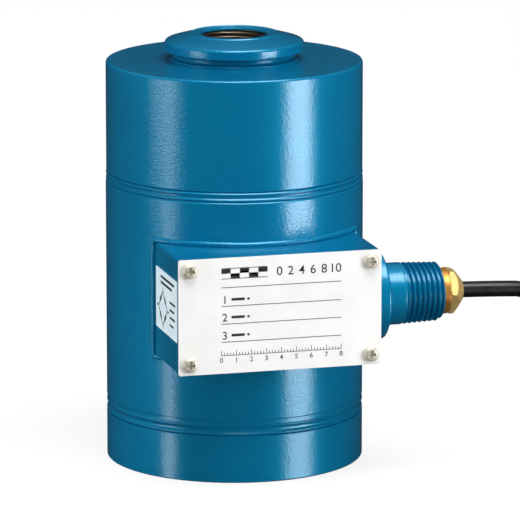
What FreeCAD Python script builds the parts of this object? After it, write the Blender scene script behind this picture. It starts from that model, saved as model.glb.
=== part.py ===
import FreeCAD, Part
import math
import os

# Cylindrical load cell, in millimetres.
# The origin is the centre of the base's underside, on the load axis, and +Z is up.
# The junction box faces -Y and its cable leaves along +X.
# On the box, u is measured along +X and v along -Y, both from the load axis.

Vector = FreeCAD.Vector
UP = Vector(0, 0, 1)
ALONG_U = Vector(1, 0, 0)
ALONG_V = Vector(0, -1, 0)
ORIGIN = Vector(0, 0, 0)
SHARP = 0.0
TOLERANCE = 1e-6

# Case stack, from the floor up
BODY_D = 89.0
CAP_D = 88.6
BASE_HEIGHT = 16.4
LOWER_RIM_HEIGHT = 5.4
TUBE_LENGTH = 75.8
UPPER_RIM_HEIGHT = 3.2
CAP_HEIGHT = 38.4
TUBE_WALL = 5.0
CAP_WALL = 6.5
CAP_ROOF = 9.0
GROOVE_DEPTH = 0.5
GROOVE_FILLET = 0.35
RIM_EDGE_FILLET = 0.9
BASE_EDGE_FILLET = 0.5

# Diaphragms between the case and the column
WEB_THICKNESS = 1.2
RIM_WIDTH = 7.0
COVE_DEPTH = 0.8
RIDGE_RISE = 0.6
RIDGE_LIFT = 0.11
RIDGE_FILLET = 0.42
BAND_DEPTH = 0.28
BAND_RISE = 0.45
BAND_HEIGHT = 1.9

# Load button
NECK_D = 41.0
NECK_GAP = 3.3
BUTTON_D = 48.0
BUTTON_EDGE_HEIGHT = 3.4
BUTTON_EDGE_FILLET = 1.0
CROWN_RADIUS = 60.0
MOUTH_D = 29.4
MOUTH_DEPTH = 0.4
BORE_D = 22.5
TOP_BORE_LENGTH = 22.0
NECK_CLEARANCE = 0.3
SEAL_WIDTH = 1.9
SEAL_HEIGHT = 4.0
SEAL_SHOULDER = 1.0
SEAL_LIP = 2.6
SEAL_LIP_WIDTH = 0.4
SEAL_COVE_RADIUS = 1.6

# Load column
SPIGOT_D = 30.0
SPIGOT_LENGTH = 14.0
SHOULDER_D = 40.0
SHOULDER_HEIGHT = 20.0
WAIST_D = 38.0
WAIST_FILLET = 4.0
FOOT_D = 40.0
FOOT_COLLAR_D = 48.0
FOOT_COLLAR_HEIGHT = 12.0
BASE_BORE_LENGTH = 30.0
FLAT_OFFSET = 17.5
FLAT_HEIGHT = 28.0
GAUGE_LENGTH = 12.0
GAUGE_WIDTH = 7.0
GAUGE_THICKNESS = 0.3
GAUGE_COUNT = 4

# Junction box
BOX_WIDTH = 70.6
BOX_HEIGHT = 39.5
BOX_CENTRE_Z = 62.65
BOX_FRONT = 58.4
BOX_WALL = 3.0
BOX_EDGE_FILLET = 1.0
POST_SIZE = 5.6
SADDLE_GAP = 0.05
BEAD_LEG = 2.4
GASKET_THICKNESS = 0.6
GASKET_INSET = 0.5
GASKET_WIDTH = 2.2
PLATE_THICKNESS = 1.0
PLATE_CORNER = 0.6
SCREW_INSET = 3.7
LABEL_LENGTH = 28.4
LABEL_HEIGHT = 20.8
LABEL_THICKNESS = 0.25
LABEL_EDGE_GAP = 0.3
LABEL_CENTRE_Z = 64.3

# Cross-recessed plate screws
SCREW_D = 3.0
SCREW_HEAD_D = 5.0
SCREW_HEAD_HEIGHT = 1.9
SCREW_HEAD_FILLET = 1.1
SCREW_LENGTH = 9.0
RECESS_LENGTH = 2.8
RECESS_WIDTH = 0.7
RECESS_DEPTH = 1.0
THREAD_CLEARANCE = 0.1

# Cable entry
ENTRY_V = 42.5
ENTRY_Z = 63.0
ENTRY_FLANGE_D = 30.4
ENTRY_FLANGE_THICKNESS = 4.6
ENTRY_FLANGE_FILLET = 0.8
PIPE_D = 21.3
PIPE_NECK_LENGTH = 6.4
PIPE_THREAD_LENGTH = 14.5
PIPE_END_D = 20.1
THREAD_PITCH = 1.814
THREAD_DEPTH = 1.1
THREAD_CREST = 0.3
PIPE_BEAD_LEG = 1.3
PIPE_BORE_D = 14.0
WIRE_WAY_D = 10.0

# Brass gland
GLAND_COLLAR_D = 15.8
GLAND_COLLAR_LENGTH = 2.6
GLAND_SHANK_LENGTH = 10.0
GLAND_SPIGOT_D = 10.0
GLAND_SPIGOT_LENGTH = 2.2
NUT_FLATS = 14.6
NUT_SIDES = 6
NUT_HEX_LENGTH = 1.6
NUT_LENGTH = 5.5
NUT_NOSE_D = 7.4
NUT_SHOULDER_D = 12.6
NUT_LIP = 0.9
CABLE_CLEARANCE = 0.2
GLAND_CLEARANCE = 0.05

# Inside the box
BOARD_WIDTH = 40.0
BOARD_HEIGHT = 26.0
BOARD_THICKNESS = 1.6
BOARD_BACK = 50.0
STANDOFF_D = 5.0
STANDOFF_INSET = 3.5
BOARD_SCREW_D = 2.5
BOARD_SCREW_HEAD_D = 4.5
BOARD_SCREW_HEAD_HEIGHT = 1.6
BOARD_SCREW_LENGTH = 6.0
PIN_COUNT = 4
PIN_PITCH = 5.0
PIN_D = 1.6
PIN_HEIGHT = 3.6
PIN_INSET = 6.0
RESISTOR_COUNT = 3
RESISTOR_PITCH = 6.0
RESISTOR_LENGTH = 9.0
RESISTOR_D = 2.6
WIRE_HOLE_D = 12.0
GROMMET_LIP = 1.5
LOOM_D = 3.0
CABLE_END_U = 29.5
CORE_STEP = 1.1

# Cable: about 3 m, of which the camera sees only the start
CABLE_D = 5.5
CORE_D = 0.9
TURNS_ACROSS = 3
TURNS_HIGH = 6
COIL_MEAN_D = 56.0
COIL_CORNER = 2.5
TIE_THICKNESS = 1.0
TIE_WIDTH = 5.0
TIE_ANGLES = (130.0, 235.0)
TAIL_START = -45.0
TAIL_END = 35.0
SLEEVE_SWEEP = 26.0
SLEEVE_WALL = 0.35
FLYING_D = 1.3
TIP_D = 0.8
TIP_LENGTH = 6.0
CORE_NAMES = ("core_red", "core_white", "shield_drain", "core_green", "core_black")
BUNDLE_PLACES = ((-1.0, 0.35), (-0.62, -0.85), (0.0, 1.05), (0.62, -0.85), (1.0, 0.35))
FAN_START = 0.8
FAN_STEPS = (16.0, 32.0, 50.0)
FAN_SPREAD = (1.7, 2.4, 3.0)
ARC_SHARE = 0.45
FILLET_SHARE = 0.49

# Places that follow from the sizes above
BASE_TOP = BASE_HEIGHT
TUBE_BOTTOM = BASE_TOP + LOWER_RIM_HEIGHT
TUBE_TOP = TUBE_BOTTOM + TUBE_LENGTH
CAP_BOTTOM = TUBE_TOP + UPPER_RIM_HEIGHT
CAP_TOP = CAP_BOTTOM + CAP_HEIGHT
FLANGE_BOTTOM = CAP_TOP + NECK_GAP
FLANGE_TOP = FLANGE_BOTTOM + BUTTON_EDGE_HEIGHT
BODY_R = BODY_D / 2
BORE_R = BORE_D / 2
NECK_R = NECK_D / 2
SEAL_OUTER_R = NECK_R + SEAL_WIDTH
BOX_BOTTOM = BOX_CENTRE_Z - BOX_HEIGHT / 2
BOX_TOP = BOX_CENTRE_Z + BOX_HEIGHT / 2
BOX_SIDE = BOX_WIDTH / 2
PLATE_BACK = BOX_FRONT + GASKET_THICKNESS
PLATE_FRONT = PLATE_BACK + PLATE_THICKNESS
ENTRY_END = BOX_SIDE + ENTRY_FLANGE_THICKNESS
PIPE_END = ENTRY_END + PIPE_NECK_LENGTH + PIPE_THREAD_LENGTH
NUT_START = PIPE_END + GLAND_COLLAR_LENGTH
NUT_END = NUT_START + NUT_LENGTH
CABLE_R = CABLE_D / 2
BOARD_FRONT = BOARD_BACK + BOARD_THICKNESS
COIL_WIDTH = TURNS_ACROSS * CABLE_D
COIL_HEIGHT = TURNS_HIGH * CABLE_D
COIL_INNER_R = (COIL_MEAN_D - COIL_WIDTH) / 2
COIL_OUTER_R = (COIL_MEAN_D + COIL_WIDTH) / 2
COIL_TOP = TIE_THICKNESS + COIL_HEIGHT
LEAD_LEVEL = TIE_THICKNESS + CABLE_R

# The lead's route outside the gland, chosen by hand, as (x, y, z)
LEAD_ROUTE = (
    (NUT_END, -ENTRY_V, ENTRY_Z),
    (96.0, -ENTRY_V, ENTRY_Z),
    (118.0, -ENTRY_V, 43.5),
    (128.5, -ENTRY_V, 17.0),
    (147.0, -ENTRY_V, LEAD_LEVEL),
    (168.0, -ENTRY_V, LEAD_LEVEL),
)
COIL_X = LEAD_ROUTE[-1][0]
COIL_Y = -ENTRY_V + COIL_OUTER_R - CABLE_R


def at(u, v, z):
    """Return the point at u, v, z of the box's directions."""
    return Vector(u, -v, z)


def rounded_edges(points, radii, closed):
    """Return the edges through the points, with a tangent arc of the given radius at each corner."""
    count = len(points)
    starts = list(points)
    ends = list(points)
    arcs = [None] * count
    corners = range(count) if closed else range(1, count - 1)
    for index in corners:
        corner = points[index]
        before = points[index - 1] - corner
        after = points[(index + 1) % count] - corner
        half_turn = (math.pi - before.getAngle(after)) / 2
        if radii[index] <= 0 or half_turn < TOLERANCE:
            continue
        shorter = min(before.Length, after.Length)
        radius = min(radii[index], FILLET_SHARE * shorter / math.tan(half_turn))
        setback = radius * math.tan(half_turn)
        before.normalize()
        after.normalize()
        first = corner + before * setback
        last = corner + after * setback
        inward = (before + after).normalize()
        middle = corner + inward * (radius / math.cos(half_turn) - radius)
        arcs[index] = Part.Arc(first, middle, last).toShape()
        starts[index] = last
        ends[index] = first
    edges = []
    for index in range(count):
        if arcs[index] is not None:
            edges.append(arcs[index])
        following = index + 1
        if following == count and not closed:
            break
        following = following % count
        if (ends[following] - starts[index]).Length > TOLERANCE:
            edges.append(Part.LineSegment(starts[index], ends[following]).toShape())
    return edges


def outline_face(outline, place):
    """Return the closed face of an outline of (a, b, corner radius), with each corner put by place(a, b)."""
    points = [place(a, b) for a, b, radius in outline]
    radii = [radius for a, b, radius in outline]
    return Part.Face(Part.Wire(rounded_edges(points, radii, True)))


def lathe(outline, centre=ORIGIN, angle=360.0, start=0.0):
    """Turn an outline of (radius, height, corner radius) about an upright axis through centre."""
    face = outline_face(outline, lambda r, z: Vector(r, 0, z))
    solid = face.revolve(ORIGIN, UP, angle)
    solid.rotate(ORIGIN, UP, start)
    solid.translate(centre)
    return solid


def lathe_along_u(outline, u):
    """Turn an outline of (radius, distance, corner radius) about the cable entry's axis, from u outwards."""
    solid = lathe(outline)
    solid.rotate(ORIGIN, Vector(0, 1, 0), 90)
    solid.translate(at(u, ENTRY_V, ENTRY_Z))
    return solid


def lathe_along_v(outline, u, v, z):
    """Turn an outline of (radius, distance, corner radius) about an axis along v, from v outwards."""
    solid = lathe(outline)
    solid.rotate(ORIGIN, ALONG_U, 90)
    solid.translate(at(u, v, z))
    return solid


def block(u_range, v_range, z_range):
    """Return the box between the limits in u, v and z."""
    return Part.makeBox(
        u_range[1] - u_range[0],
        v_range[1] - v_range[0],
        z_range[1] - z_range[0],
        at(u_range[0], v_range[1], z_range[0]),
    )


def case_cylinder(clearance=0.0):
    """Return the cylinder that the case tube fills, with a clearance added to its radius."""
    return Part.makeCylinder(BODY_R + clearance, CAP_TOP)


def box_corners(inset_u, inset_z):
    """Return the (u, z) of the four points inset from the box's corners."""
    return [
        (side * (BOX_SIDE - inset_u), BOX_CENTRE_Z + level * (BOX_HEIGHT / 2 - inset_z))
        for side in (-1, 1)
        for level in (-1, 1)
    ]


def base_cap():
    """The thick disc that the cell stands on, bored for the column's foot."""
    return lathe([
        (FOOT_D / 2, 0, SHARP),
        (BODY_R, 0, BASE_EDGE_FILLET),
        (BODY_R, BASE_TOP, GROOVE_FILLET),
        (BODY_R - GROOVE_DEPTH, BASE_TOP, SHARP),
        (FOOT_D / 2, BASE_TOP, SHARP),
    ])


def groove_corner(radius, level, towards):
    """Return the bevel from a groove's floor out to the wall, going up or down from the joint."""
    return [
        (radius - GROOVE_DEPTH, level, SHARP),
        (radius, level + towards * GROOVE_DEPTH, GROOVE_FILLET),
    ]


def cove(radius, low, high):
    """Return the hollow turned in a rim, with the round ridges on both sides of it."""
    return [
        (radius + RIDGE_LIFT, low, RIDGE_FILLET),
        (radius - COVE_DEPTH, (low + high) / 2, BODY_R),
        (radius + RIDGE_LIFT, high, RIDGE_FILLET),
    ]


def upper_diaphragm():
    """The thin plate that centres the column's shoulder, with a coved rim between cap and tube."""
    web = (TUBE_TOP + CAP_BOTTOM - WEB_THICKNESS) / 2
    rim = BODY_R - RIM_WIDTH
    floor = BODY_R - GROOVE_DEPTH
    return lathe(
        [(SHOULDER_D / 2, web, SHARP), (rim, web, SHARP), (rim, TUBE_TOP, SHARP), (floor, TUBE_TOP, SHARP)]
        + cove(BODY_R, TUBE_TOP + RIDGE_RISE, CAP_BOTTOM - RIDGE_RISE)
        + [
            (floor, CAP_BOTTOM, SHARP),
            (rim, CAP_BOTTOM, SHARP),
            (rim, web + WEB_THICKNESS, SHARP),
            (SHOULDER_D / 2, web + WEB_THICKNESS, SHARP),
        ]
    )


def lower_diaphragm():
    """The plate round the column's collar, with a cove and a shallow band in its taller rim."""
    web = (BASE_TOP + TUBE_BOTTOM - WEB_THICKNESS) / 2
    rim = BODY_R - RIM_WIDTH
    floor = BODY_R - GROOVE_DEPTH
    band = TUBE_BOTTOM - BAND_HEIGHT
    return lathe(
        [(FOOT_COLLAR_D / 2, web, SHARP), (rim, web, SHARP), (rim, BASE_TOP, SHARP), (floor, BASE_TOP, SHARP)]
        + cove(BODY_R, BASE_TOP + RIDGE_RISE, band)
        + [
            (BODY_R - BAND_DEPTH, band + BAND_RISE, GROOVE_FILLET),
            (BODY_R - BAND_DEPTH, TUBE_BOTTOM, SHARP),
            (rim, TUBE_BOTTOM, SHARP),
            (rim, web + WEB_THICKNESS, SHARP),
            (FOOT_COLLAR_D / 2, web + WEB_THICKNESS, SHARP),
        ]
    )


def case_tube():
    """The outer tube, with a hole for the gauge loom into the junction box."""
    inner = BODY_R - TUBE_WALL
    tube = lathe(
        [
            (inner, TUBE_BOTTOM, SHARP),
            (BODY_R, TUBE_BOTTOM, GROOVE_FILLET),
        ]
        + groove_corner(BODY_R, TUBE_TOP, -1)[::-1]
        + [(inner, TUBE_TOP, SHARP)]
    )
    hole = Part.makeCylinder(WIRE_HOLE_D / 2, BODY_R, at(0, 0, BOX_CENTRE_Z), ALONG_V)
    return tube.cut(hole)


def upper_cap():
    """The inverted cup on the upper diaphragm, holed for the button's neck and its seal."""
    radius = CAP_D / 2
    inner = radius - CAP_WALL
    seat = CAP_TOP - SEAL_HEIGHT
    hole = NECK_R + NECK_CLEARANCE
    return lathe(
        [(inner, CAP_BOTTOM, SHARP)]
        + groove_corner(radius, CAP_BOTTOM, 1)
        + [
            (radius, CAP_TOP, RIM_EDGE_FILLET),
            (SEAL_OUTER_R, CAP_TOP, GROOVE_FILLET),
            (SEAL_OUTER_R, seat, SHARP),
            (hole, seat, SHARP),
            (hole, CAP_TOP - CAP_ROOF, SHARP),
            (inner, CAP_TOP - CAP_ROOF, SHARP),
        ]
    )


def neck_seal():
    """The ring of sealing compound that closes the gap round the neck and coves up to it."""
    lip = NECK_R + SEAL_LIP_WIDTH
    return lathe([
        (NECK_R, CAP_TOP - SEAL_HEIGHT, SHARP),
        (SEAL_OUTER_R, CAP_TOP - SEAL_HEIGHT, SHARP),
        (SEAL_OUTER_R, CAP_TOP + SEAL_SHOULDER, GROOVE_FILLET),
        (lip, CAP_TOP + SEAL_SHOULDER, SEAL_COVE_RADIUS),
        (lip, CAP_TOP + SEAL_LIP, SHARP),
        (NECK_R, CAP_TOP + SEAL_LIP, SHARP),
    ])


def crown_height(radius):
    """Return how far the crown stands above the edge of the button at a radius."""
    edge = BUTTON_D / 2 - BUTTON_EDGE_FILLET
    drop = CROWN_RADIUS - math.sqrt(CROWN_RADIUS ** 2 - edge ** 2)
    return drop - (CROWN_RADIUS - math.sqrt(CROWN_RADIUS ** 2 - radius ** 2))


MOUTH_TOP = FLANGE_TOP + crown_height(MOUTH_D / 2)
SPIGOT_TOP = MOUTH_TOP - TOP_BORE_LENGTH
SHOULDER_TOP = SPIGOT_TOP - SPIGOT_LENGTH


def load_button():
    """The crowned button: tapped from above and screwed over the column's spigot from below."""
    edge = BUTTON_D / 2
    middle = (edge + MOUTH_D / 2) / 2
    return lathe([
        (SPIGOT_D / 2, SHOULDER_TOP, SHARP),
        (NECK_R, SHOULDER_TOP, SHARP),
        (NECK_R, FLANGE_BOTTOM, GROOVE_FILLET),
        (edge, FLANGE_BOTTOM, GROOVE_FILLET),
        (edge, FLANGE_TOP, BUTTON_EDGE_FILLET),
        (middle, FLANGE_TOP + crown_height(middle), CROWN_RADIUS),
        (MOUTH_D / 2, MOUTH_TOP, BUTTON_EDGE_FILLET),
        (BORE_R, MOUTH_TOP - MOUTH_DEPTH, GROOVE_FILLET),
        (BORE_R, SPIGOT_TOP, SHARP),
        (SPIGOT_D / 2, SPIGOT_TOP, SHARP),
    ])


def load_column():
    """The sensing column: foot, collar, gauged waist with four flats, shoulder and spigot."""
    collar_top = BASE_TOP + FOOT_COLLAR_HEIGHT
    shoulder_bottom = SHOULDER_TOP - SHOULDER_HEIGHT
    column = lathe([
        (0, BASE_BORE_LENGTH, SHARP),
        (BORE_R, BASE_BORE_LENGTH, SHARP),
        (BORE_R, 0, SHARP),
        (FOOT_D / 2, 0, SHARP),
        (FOOT_D / 2, BASE_TOP, SHARP),
        (FOOT_COLLAR_D / 2, BASE_TOP, SHARP),
        (FOOT_COLLAR_D / 2, collar_top, SHARP),
        (WAIST_D / 2, collar_top, WAIST_FILLET),
        (WAIST_D / 2, shoulder_bottom, SHARP),
        (SHOULDER_D / 2, shoulder_bottom, SHARP),
        (SHOULDER_D / 2, SHOULDER_TOP, SHARP),
        (SPIGOT_D / 2, SHOULDER_TOP, SHARP),
        (SPIGOT_D / 2, SPIGOT_TOP, SHARP),
        (0, SPIGOT_TOP, SHARP),
    ])
    for index in range(GAUGE_COUNT):
        flat = block(
            (-WAIST_D, WAIST_D),
            (FLAT_OFFSET, WAIST_D),
            (BOX_CENTRE_Z - FLAT_HEIGHT / 2, BOX_CENTRE_Z + FLAT_HEIGHT / 2),
        )
        flat.rotate(ORIGIN, UP, index * 360 / GAUGE_COUNT)
        column = column.cut(flat)
    return column


def strain_gauges():
    """The bonded gauges, one on each flat of the waist."""
    gauges = []
    for index in range(GAUGE_COUNT):
        gauge = block(
            (-GAUGE_WIDTH / 2, GAUGE_WIDTH / 2),
            (FLAT_OFFSET, FLAT_OFFSET + GAUGE_THICKNESS),
            (BOX_CENTRE_Z - GAUGE_LENGTH / 2, BOX_CENTRE_Z + GAUGE_LENGTH / 2),
        )
        gauge.rotate(ORIGIN, UP, index * 360 / GAUGE_COUNT)
        gauges.append(gauge)
    return Part.makeCompound(gauges)


def junction_box():
    """The welded box: open in front, saddled to the case, with a tapped post in each corner."""
    outer = block((-BOX_SIDE, BOX_SIDE), (0, BOX_FRONT), (BOX_BOTTOM, BOX_TOP))
    long_edges = [edge for edge in outer.Edges if abs(edge.tangentAt(0).y) > 0.5]
    outer = outer.makeFillet(BOX_EDGE_FILLET, long_edges)
    cavity = block(
        (BOX_WALL - BOX_SIDE, BOX_SIDE - BOX_WALL),
        (0, BOX_FRONT),
        (BOX_BOTTOM + BOX_WALL, BOX_TOP - BOX_WALL),
    )
    reach = POST_SIZE / 2
    for u, z in box_corners(SCREW_INSET, SCREW_INSET):
        cavity = cavity.cut(block((u - reach, u + reach), (0, BOX_FRONT), (z - reach, z + reach)))
    box = outer.cut(cavity).cut(case_cylinder(SADDLE_GAP))
    hole_start = BOX_FRONT - SCREW_LENGTH
    for u, z in box_corners(SCREW_INSET, SCREW_INSET):
        hole = Part.makeCylinder(SCREW_D / 2 + THREAD_CLEARANCE, SCREW_LENGTH, at(u, hole_start, z), ALONG_V)
        box = box.cut(hole)
    way = Part.makeCylinder(WIRE_WAY_D / 2, BOX_WALL * 2, at(BOX_SIDE - BOX_WALL * 2, ENTRY_V, ENTRY_Z), ALONG_U)
    return box.cut(way)


def box_weld():
    """The bead round the box where it meets the case tube."""
    ring_inner = BODY_R - BEAD_LEG
    top = lathe([
        (ring_inner, BOX_TOP, SHARP),
        (BODY_R + BEAD_LEG, BOX_TOP, SHARP),
        (BODY_R, BOX_TOP + BEAD_LEG, SHARP),
        (ring_inner, BOX_TOP + BEAD_LEG, SHARP),
    ])
    bottom = top.mirror(at(0, 0, BOX_CENTRE_Z), UP)
    side = BOX_SIDE + BEAD_LEG
    keep = block((-side, side), (0, BOX_FRONT), (0, CAP_TOP))
    bead = top.fuse(bottom).common(keep)
    for direction in (-1, 1):
        wall = direction * BOX_SIDE
        outward = direction * BEAD_LEG
        surface = math.sqrt(BODY_R ** 2 - BOX_SIDE ** 2)
        inner = surface - 2 * BEAD_LEG
        corners = [at(wall, inner, 0), at(wall, surface + BEAD_LEG, 0), at(wall + outward, surface - BEAD_LEG / 2, 0)]
        corners.append(at(wall + outward, inner, 0))
        prism = Part.Face(Part.makePolygon(corners + corners[:1])).extrude(UP * (BOX_HEIGHT + 2 * BEAD_LEG))
        prism.translate(UP * (BOX_BOTTOM - BEAD_LEG))
        bead = bead.fuse(prism)
    bead = bead.cut(block((-BOX_SIDE, BOX_SIDE), (0, BOX_FRONT), (BOX_BOTTOM, BOX_TOP)))
    boss = Part.makeCylinder(ENTRY_FLANGE_D / 2, 2 * BEAD_LEG, at(BOX_SIDE, ENTRY_V, ENTRY_Z), ALONG_U)
    return bead.cut(boss).cut(case_cylinder()).removeSplitter()


def plate_gasket():
    """The rubber frame under the plate, holed at the screws."""
    side = BOX_SIDE - GASKET_INSET
    low = BOX_BOTTOM + GASKET_INSET
    high = BOX_TOP - GASKET_INSET
    span = (BOX_FRONT, PLATE_BACK)
    frame = block((-side, side), span, (low, high))
    opening = block(
        (GASKET_WIDTH - side, side - GASKET_WIDTH),
        span,
        (low + GASKET_WIDTH, high - GASKET_WIDTH),
    )
    reach = POST_SIZE / 2
    for u, z in box_corners(SCREW_INSET, SCREW_INSET):
        opening = opening.cut(block((u - reach, u + reach), span, (z - reach, z + reach)))
    frame = frame.cut(opening)
    for u, z in box_corners(SCREW_INSET, SCREW_INSET):
        hole = Part.makeCylinder(SCREW_D / 2 + THREAD_CLEARANCE, GASKET_THICKNESS, at(u, BOX_FRONT, z), ALONG_V)
        frame = frame.cut(hole)
    return frame


def name_plate():
    """The aluminium plate that closes the box."""
    outline = [
        (-BOX_SIDE, BOX_BOTTOM, PLATE_CORNER),
        (BOX_SIDE, BOX_BOTTOM, PLATE_CORNER),
        (BOX_SIDE, BOX_TOP, PLATE_CORNER),
        (-BOX_SIDE, BOX_TOP, PLATE_CORNER),
    ]
    face = outline_face(outline, lambda u, z: at(u, PLATE_BACK, z))
    plate = face.extrude(ALONG_V * PLATE_THICKNESS)
    for u, z in box_corners(SCREW_INSET, SCREW_INSET):
        hole = Part.makeCylinder(SCREW_D / 2 + THREAD_CLEARANCE, PLATE_THICKNESS, at(u, PLATE_BACK, z), ALONG_V)
        plate = plate.cut(hole)
    return plate


def pan_screw(u, seat, z):
    """A cross-recessed pan-head screw whose head rests on the plane at v = seat."""
    grip = PLATE_THICKNESS + GASKET_THICKNESS + SCREW_LENGTH
    screw = lathe_along_v(
        [
            (0, 0, SHARP),
            (SCREW_D / 2, 0, SHARP),
            (SCREW_D / 2, grip, SHARP),
            (SCREW_HEAD_D / 2, grip, SHARP),
            (SCREW_HEAD_D / 2, grip + SCREW_HEAD_HEIGHT, SCREW_HEAD_FILLET),
            (0, grip + SCREW_HEAD_HEIGHT, SHARP),
        ],
        u,
        seat - grip,
        z,
    )
    floor = seat + SCREW_HEAD_HEIGHT - RECESS_DEPTH
    top = seat + SCREW_HEAD_HEIGHT
    long_half = RECESS_LENGTH / 2
    short_half = RECESS_WIDTH / 2
    for half_u, half_z in ((long_half, short_half), (short_half, long_half)):
        slot = block((u - half_u, u + half_u), (floor, top), (z - half_z, z + half_z))
        screw = screw.cut(slot)
    return screw


def plate_screws():
    """The four screws of the name plate."""
    return Part.makeCompound([pan_screw(u, PLATE_FRONT, z) for u, z in box_corners(SCREW_INSET, SCREW_INSET)])


def side_label():
    """The thin label on the box's left wall."""
    front = BOX_FRONT - LABEL_EDGE_GAP
    return block(
        (-BOX_SIDE - LABEL_THICKNESS, -BOX_SIDE),
        (front - LABEL_LENGTH, front),
        (LABEL_CENTRE_Z - LABEL_HEIGHT / 2, LABEL_CENTRE_Z + LABEL_HEIGHT / 2),
    )


def nipple_flange():
    """The round boss on the box's right wall."""
    return lathe_along_u(
        [
            (WIRE_WAY_D / 2, 0, SHARP),
            (ENTRY_FLANGE_D / 2, 0, SHARP),
            (ENTRY_FLANGE_D / 2, ENTRY_FLANGE_THICKNESS, ENTRY_FLANGE_FILLET),
            (WIRE_WAY_D / 2, ENTRY_FLANGE_THICKNESS, SHARP),
        ],
        BOX_SIDE,
    )


def nipple_weld():
    """The bead at the foot of the nipple."""
    pipe = PIPE_D / 2
    return lathe_along_u(
        [(pipe, 0, SHARP), (pipe + PIPE_BEAD_LEG, 0, SHARP), (pipe, PIPE_BEAD_LEG, SHARP)],
        ENTRY_END,
    )


def thread_outline(start, length, start_r, end_r):
    """Return the crests and roots of a taper thread, drawn as whole rings of about the thread's pitch."""
    outline = []
    count = round(length / THREAD_PITCH)
    pitch = length / count
    for index in range(count):
        share = (index + 0.5) / count
        crest = start_r + (end_r - start_r) * share
        foot = start + index * pitch
        middle = foot + pitch / 2
        outline += [
            (crest - THREAD_DEPTH, foot, SHARP),
            (crest, middle - THREAD_CREST / 2, SHARP),
            (crest, middle + THREAD_CREST / 2, SHARP),
        ]
    return outline


def conduit_nipple():
    """The threaded pipe stub that the gland screws into."""
    length = PIPE_NECK_LENGTH + PIPE_THREAD_LENGTH
    end_r = PIPE_END_D / 2
    shank_end = length - GLAND_SHANK_LENGTH
    return lathe_along_u(
        [
            (WIRE_WAY_D / 2, 0, SHARP),
            (PIPE_D / 2, 0, SHARP),
            (PIPE_D / 2, PIPE_NECK_LENGTH - THREAD_CREST, SHARP),
        ]
        + thread_outline(PIPE_NECK_LENGTH, PIPE_THREAD_LENGTH, PIPE_D / 2, end_r)
        + [
            (end_r - THREAD_DEPTH, length, SHARP),
            (PIPE_BORE_D / 2, length, SHARP),
            (PIPE_BORE_D / 2, shank_end, SHARP),
            (WIRE_WAY_D / 2, shank_end, SHARP),
        ],
        ENTRY_END,
    )


def gland_body():
    """The brass gland's shank, collar and threaded spigot, bored for the cable."""
    bore = CABLE_R + CABLE_CLEARANCE
    collar_end = GLAND_SHANK_LENGTH + GLAND_COLLAR_LENGTH
    return lathe_along_u(
        [
            (bore, 0, SHARP),
            (PIPE_BORE_D / 2 - GLAND_CLEARANCE, 0, SHARP),
            (PIPE_BORE_D / 2 - GLAND_CLEARANCE, GLAND_SHANK_LENGTH, SHARP),
            (GLAND_COLLAR_D / 2, GLAND_SHANK_LENGTH, GROOVE_FILLET),
            (GLAND_COLLAR_D / 2, collar_end, GROOVE_FILLET),
            (GLAND_SPIGOT_D / 2, collar_end, SHARP),
            (GLAND_SPIGOT_D / 2, collar_end + GLAND_SPIGOT_LENGTH, SHARP),
            (bore, collar_end + GLAND_SPIGOT_LENGTH, SHARP),
        ],
        PIPE_END - GLAND_SHANK_LENGTH,
    )


def gland_bush():
    """The conical rubber bush squeezed between the spigot and the nut's nose."""
    length = NUT_LENGTH - NUT_LIP - GLAND_SPIGOT_LENGTH
    return lathe_along_u(
        [
            (CABLE_R, 0, SHARP),
            (GLAND_SPIGOT_D / 2 - CABLE_CLEARANCE, 0, SHARP),
            (CABLE_R + CABLE_CLEARANCE, length, SHARP),
            (CABLE_R, length, SHARP),
        ],
        NUT_START + GLAND_SPIGOT_LENGTH,
    )


def gland_nut():
    """The hexagonal gland nut, which narrows to a conical nose round the cable."""
    bore = CABLE_R + CABLE_CLEARANCE
    inside = GLAND_SPIGOT_D / 2 + GLAND_CLEARANCE
    corner_r = NUT_FLATS / 2 / math.cos(math.pi / NUT_SIDES)
    shoulder = (NUT_HEX_LENGTH + NUT_LENGTH) / 2
    turned = lathe_along_u(
        [
            (inside, 0, SHARP),
            (corner_r, 0, GROOVE_FILLET),
            (corner_r, NUT_HEX_LENGTH, SHARP),
            (NUT_SHOULDER_D / 2, shoulder, NUT_LENGTH),
            (NUT_NOSE_D / 2, NUT_LENGTH, GROOVE_FILLET),
            (bore, NUT_LENGTH, SHARP),
            (bore, NUT_LENGTH - NUT_LIP, SHARP),
            (inside, GLAND_SPIGOT_LENGTH, SHARP),
        ],
        NUT_START,
    )
    corners = []
    for index in range(NUT_SIDES):
        angle = math.tau * index / NUT_SIDES
        corners.append(at(NUT_START, ENTRY_V + corner_r * math.cos(angle), ENTRY_Z + corner_r * math.sin(angle)))
    hexagon = Part.Face(Part.makePolygon(corners + corners[:1])).extrude(ALONG_U * NUT_LENGTH)
    return turned.common(hexagon)


def cable_inner():
    """The cable from inside the box to the nose of the gland nut."""
    return Part.makeCylinder(CABLE_R, NUT_END - CABLE_END_U, at(CABLE_END_U, ENTRY_V, ENTRY_Z), ALONG_U)


def board_corners():
    """Return the (u, z) of the terminal board's four fixing holes."""
    return [
        (side * (BOARD_WIDTH / 2 - STANDOFF_INSET), BOX_CENTRE_Z + level * (BOARD_HEIGHT / 2 - STANDOFF_INSET))
        for side in (-1, 1)
        for level in (-1, 1)
    ]


def pin_heights():
    """Return the height of each terminal pin."""
    middle = (PIN_COUNT - 1) / 2
    return [BOX_CENTRE_Z + (index - middle) * PIN_PITCH for index in range(PIN_COUNT)]


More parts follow.
